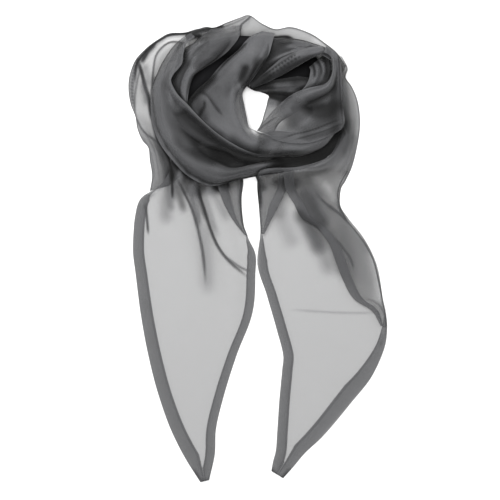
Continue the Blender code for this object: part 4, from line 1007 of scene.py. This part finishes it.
# Both margins of the tail are turned over on it under the ring, the right one down to
# the tail's widest place, so that their hems cross the tail as darker bands.

TAIL_RIGHT_TURNOVER_LEFT = Stretch(sections=[
    (-2.4, 71.5, 30, 76), (-0.3, 65.5, 30.5, 67), (1.2, 56.5, 28, 58), (1.5, 45, 21, 43),
    (2, 30, 13.5, 29), (3, 15, 6, 14),
], creases=[
    (0, 0), (0.5, (1, 0.6, 0.3)), (1, 0),
], folds=[
    ((-8, 82, -3.5, 75, -1, 68, 0.6, 60, 1.3, 50, 1.8, 38), 0, 1.7, 5, 2.5),
    ((-6, 78, -1, 71, 2.5, 64, 6, 55), 0, 4.2, 3.5, 1.2),
    ((4, 70, 12, 68, 20, 66.5, 32, 64), 0, 5, 0.5, 0.2),
], plies=[0, 1, 1, 1], hem_right=Hem(0, 1))

TAIL_RIGHT_TURNOVER_RIGHT = Stretch(sections=[
    (26, 78, 90, 77), (26, 69, 84, 67), (28, 58, 80.5, 57), (36, 44, 81.5, 44), (43, 31, 88, 30),
    (60, 19, 99, 16), (70, 6, 107, 5), (78, -14, 116.5, -14), (85, -32, 121, -33),
    (97, -52, 125, -53), (114, -63, 127.5, -65), (122.5, -77.5, 128, -79),
], creases=[
    (0, 0), (0.3, (1, 1, 0.8, 0.5, 0.3)), (0.5, (3, 3.5, 2, 1, 0.3)), (0.7, (1, 1, 0.8, 0.5, 0.3)),
    (1, 0),
], folds=[
    ((40, 62, 48, 52, 54, 42, 60, 31, 69, 17), 0, 7.5, 2.2, 0.4),
    ((36, 42, 42, 35, 48, 29, 56, 23, 66, 17), 0, 3.4, 3, 1.3),
    ((28.5, 84, 29, 74, 30, 64, 33, 52), 0, 4.6, 0.6, 0.5),
    ((34, 52, 44, 34, 58, 20, 70, 6, 79, -12, 85, -30, 92, -46), 0, 6.5, 0.8, 0.15),
    ((56, 58, 63, 49, 70, 43, 77, 38, 84, 32, 93, 22), 0.5, (1, 1.2), 2.5, 0.5),
    ((66, 70, 72, 60, 76, 52, 79, 44), 0, 6, -0.7),
    ((76, 12, 82, 4, 88, -4, 93, -12, 96, -22), 0.4, 1, 2, 0.4),
    ((80, 52, 81.5, 41, 87, 32, 94, 24, 102, 15, 112, 2), 0, 1.5, 3, 0.6),
], plies=[0, 1, 1, 1, 0.9, 0.7, 0.6], hem_left=Hem(-90, -89))

lay(
    "tail_right_margin_left", "tail_right_turnover_left", TAIL_RIGHT_TURNOVER_LEFT,
    "sheer_chiffon", curl=-1, flat=(0.022, 0.065), rests_on=[tail_right],
)
lay(
    "tail_right_margin_right", "tail_right_turnover_right", TAIL_RIGHT_TURNOVER_RIGHT,
    "sheer_chiffon", curl=1, flat=(0.04, 0.18), rests_on=[tail_right],
)

# ---------------- strand below the hole
# The last stretch, on top of the heap under the hole.

STRAND_BOTTOM = Stretch(sections=[
    (0, 91, 4, 115), (14, 91, 18, 117), (28, 91.5, 31, 116), (42, 92, 44, 115.5),
    (56, 96.5, 56, 117.5), (68, 103.5, 66, 120.5), (75, 112, 73, 122), (85, 126, 80, 126),
], creases=[
    (0, (-6, -4, -8, -8, -6, -5, -3)), (0.12, (-4, 0, 1, 1, 1, 1, 0)),
    (0.4, (-3, 2, 5, 7, 7, 5, 2)), (0.7, (-3, 1, 4, 6, 6, 4, 1)), (1, (-4, -2, 0, 0, 0, 0, -1)),
], folds=[
    ((-18, 99, -6, 96, 6, 93.5, 20, 92.5, 36, 92, 50, 94), 0, 4.5, 0, 1.6),
    ((-14, 96, 4, 96, 24, 96, 48, 97, 70, 104), 0, (3, 4), 0, 0.6),
    ((10, 90, 32, 91, 52, 94, 72, 102, 82, 110), 0, 3, 0, 0.6),
    ((-8, 122, 4, 115, 16, 109, 28, 104.4, 40, 102, 54, 101, 70, 105), 0, (4, 3), 0, -2.2),
    ((-4, 122, 3, 114, 9, 108, 14, 98), 0, 7, 0, -1.7),
], plies=[0.5, 3, 6, 7, 7, 7, 7])

strand_bottom = lay(
    "strand_under_hole", "strand_bottom", STRAND_BOTTOM,
    flat=(0.018, 0.11), rests_on=[strand_centre, tail_right],
)

# ---------------- panel, right
# The strand right of the hole: a broad panel with a rounded rim above, which lies over
# the pocket's end, and a hemmed lower edge.

PANEL_RIGHT = Stretch(sections=[
    (66, 196, 68, 202), (73, 191, 79, 194), (74.5, 182, 83, 182), (73, 172, 84, 164),
    (66, 164, 85, 143), (50, 160, 86, 123), (35, 154, 69, 111), (23, 145, 51, 105),
    (13, 135, 32, 105), (4, 124, 17, 108.5), (-1, 117.5, 5, 114),
], creases=[
    (0, (-10, -6, -6, -6, -6, -5, -3)), (0.06, (-8, 3, 5, 4, 2, 0, 0)),
    (0.14, (-6, 8, 9, 8, 5, 3, 1)), ((0.4, 0.4, 0.4, 0.34, 0.4), (-6, 3, 0, -6, 4, 3, 1)),
    (0.64, (-7, 2, 0, -1, 4, 4, 1)), (0.86, (-9, 1, 1, 2, 3, 2, 0.5)),
    (1, (-10, -2, 0, 0, 1, 1, 0)),
], folds=[
    ((87, 130, 72, 125, 60, 120, 47, 116, 37, 114, 27, 110, 16, 106), -0.7, 0.8, 0, 1, 3.1),
    ((87, 130, 72, 125, 60, 120, 47, 116, 37, 114, 27, 110, 16, 106), -0.4, 0.8, 0, 0.4),
    ((94, 128, 84, 124, 72, 119, 60, 115, 50, 112, 40, 109, 30, 106), -0.7, 0.8, 0, 0.9),
    ((-8, 126, 4, 117, 14, 111.5, 24, 107.5, 36, 104.5, 54, 103.5), 0, 3, 0, -1.8),
    ((-8, 116, 2, 111, 10, 108, 20, 106.5, 34, 105), 0, (6, 5), 0, -2),
    ((42, 144.4, 50, 142.4, 59, 140.6, 68, 139.5, 77, 142, 88, 150), 0, (6.5, 8), 0, 2.2),
    ((38, 107.5, 54, 111.4, 70, 115.6, 88, 123), 0, 3, 0, 0.9),
    ((80, 170, 79, 152, 78, 136, 77, 124, 78, 106), 0, 5.5, 0, 1.1),
    ((38, 112, 50, 117, 62, 121, 74, 126, 86, 132), 0, (5, 4), 0, 0.7),
    ((77, 204, 80.3, 191, 81.4, 176, 81.8, 162, 82.6, 148, 84, 134, 85, 118), -0.3, 0.7, 0, 1.2),
    ((67, 204, 73, 191, 75, 180, 73.5, 171, 67.5, 164, 56, 160, 44, 156, 34, 150, 24, 140,
      12, 126), 0, 2.4, 0, -1.6),
    ((29, 158, 21, 145, 14, 135, 8, 125, -1, 112), 0, 8, 0, -1.5),
], plies=[
    (6, 7, 6, 5), (6, 7, 6, 5), (6, 7, 6, 5), (6, 7, 6, 5), (3, 5, 6, 5), (0.6, 1.4, 3, 4),
    (0.8, 0.9, 1.2, 2),
])

lay(
    "panel_right_cloth", "panel_right", PANEL_RIGHT,
    flat=(0.042, 0.15), rests_on=[tail_right, strand_bottom],
)

# ---------------- painted shade in the folds
# The cloth's colour is darkened as painted shade: the further it lies below what stands
# round it, in hollows, creases and under overlapping edges, the darker it is painted.

HOLLOW_REACHES = (3, 6, 12)  # the mean height is taken over so many cells each way
HOLLOW_DEPTH = 1.2           # at this depth three eighths of the light are left
around = [
    pile.blurred(pile.blurred(pile.top, reach // 2 + 1), reach // 2 + 1)
    for reach in HOLLOW_REACHES
]


def paint_shade(piece):
    """Write the painted shade of each point of a piece, which scales its base colour: it
    falls off exponentially with how far the point lies below the mean height of the pile
    round it, in the mean over the reaches, and with its folds' painted darkening. No shade
    is painted on a ridge."""
    count = len(piece.data.vertices)
    points = np.empty(count * 3)
    pinch = np.empty(count)
    painted_shade = piece.data.attributes["painted_shade"].data
    piece.data.vertices.foreach_get("co", points)
    painted_shade.foreach_get("value", pinch)
    x, y, z = points.reshape(-1, 3).T / MM
    top = z + LAYER - LIFT
    # painted shade: how far each point lies below the mean height of the pile round it
    below = sum(np.maximum(pile.read(mean, x, y) - top, 0) for mean in around)
    depth = np.maximum(below / len(HOLLOW_REACHES) + pinch, 0)
    painted_shade.foreach_set("value", np.exp(-depth / HOLLOW_DEPTH))


for piece in pieces:
    paint_shade(piece)

# ---------------- the studio
# A plain white table, a broad soft light above and a little behind it, an even sky, and
# a camera that looks straight down.

VIEW_WIDTH = 0.5
VIEW_MIDDLE = (-0.008, -0.0015)
TABLE_CORNERS = [(-3000, -3000, 0), (3000, -3000, 0), (3000, 3000, 0), (-3000, 3000, 0)]


def white_table():
    table = Shader("white_table")
    place = table.node("ShaderNodeTexCoord", {}, {}, "Object")
    table.join(table.surface, {
        "Base Color": (0.9, 0.9, 0.9, 1),
        "Roughness": 0.75 + table.noise(place, 300.0) * 0.1,
        "Specular IOR Level": 0.1,
    })
    return table.material


new_piece("table", TABLE_CORNERS, [(0, 1, 2, 3)], white_table())


def soft_light(name, place, size, power):
    """A square lamp that faces the scarf."""
    data = bpy.data.lights.new(name, "AREA")
    data.shape = "SQUARE"
    data.size = size
    data.energy = power
    lamp = bpy.data.objects.new(name, data)
    lamp.location = place
    lamp.visible_camera = False
    aim = Vector((*VIEW_MIDDLE, 0.0)) - Vector(place)
    lamp.rotation_euler = aim.to_track_quat("-Z", "Y").to_euler()
    bpy.context.scene.collection.objects.link(lamp)


soft_light("overhead", (-0.1, 0.25, 1.7), 1.0, 26.0)
soft_light("key", (-0.5, 1.0, 1.0), 0.4, 12.0)

scene = bpy.context.scene
scene.world = bpy.data.worlds.new("even_sky")
scene.world.use_nodes = True
sky = scene.world.node_tree.nodes["Background"].inputs
sky["Color"].default_value = (1, 1, 1, 1)
sky["Strength"].default_value = 0.45

data = bpy.data.cameras.new("camera")
data.type = "ORTHO"
data.ortho_scale = VIEW_WIDTH
camera = bpy.data.objects.new("camera", data)
camera.location = (*VIEW_MIDDLE, 1.0)
scene.collection.objects.link(camera)
scene.camera = camera
scene.view_settings.view_transform = "Standard"
scene.cycles.transparent_max_bounces = 64
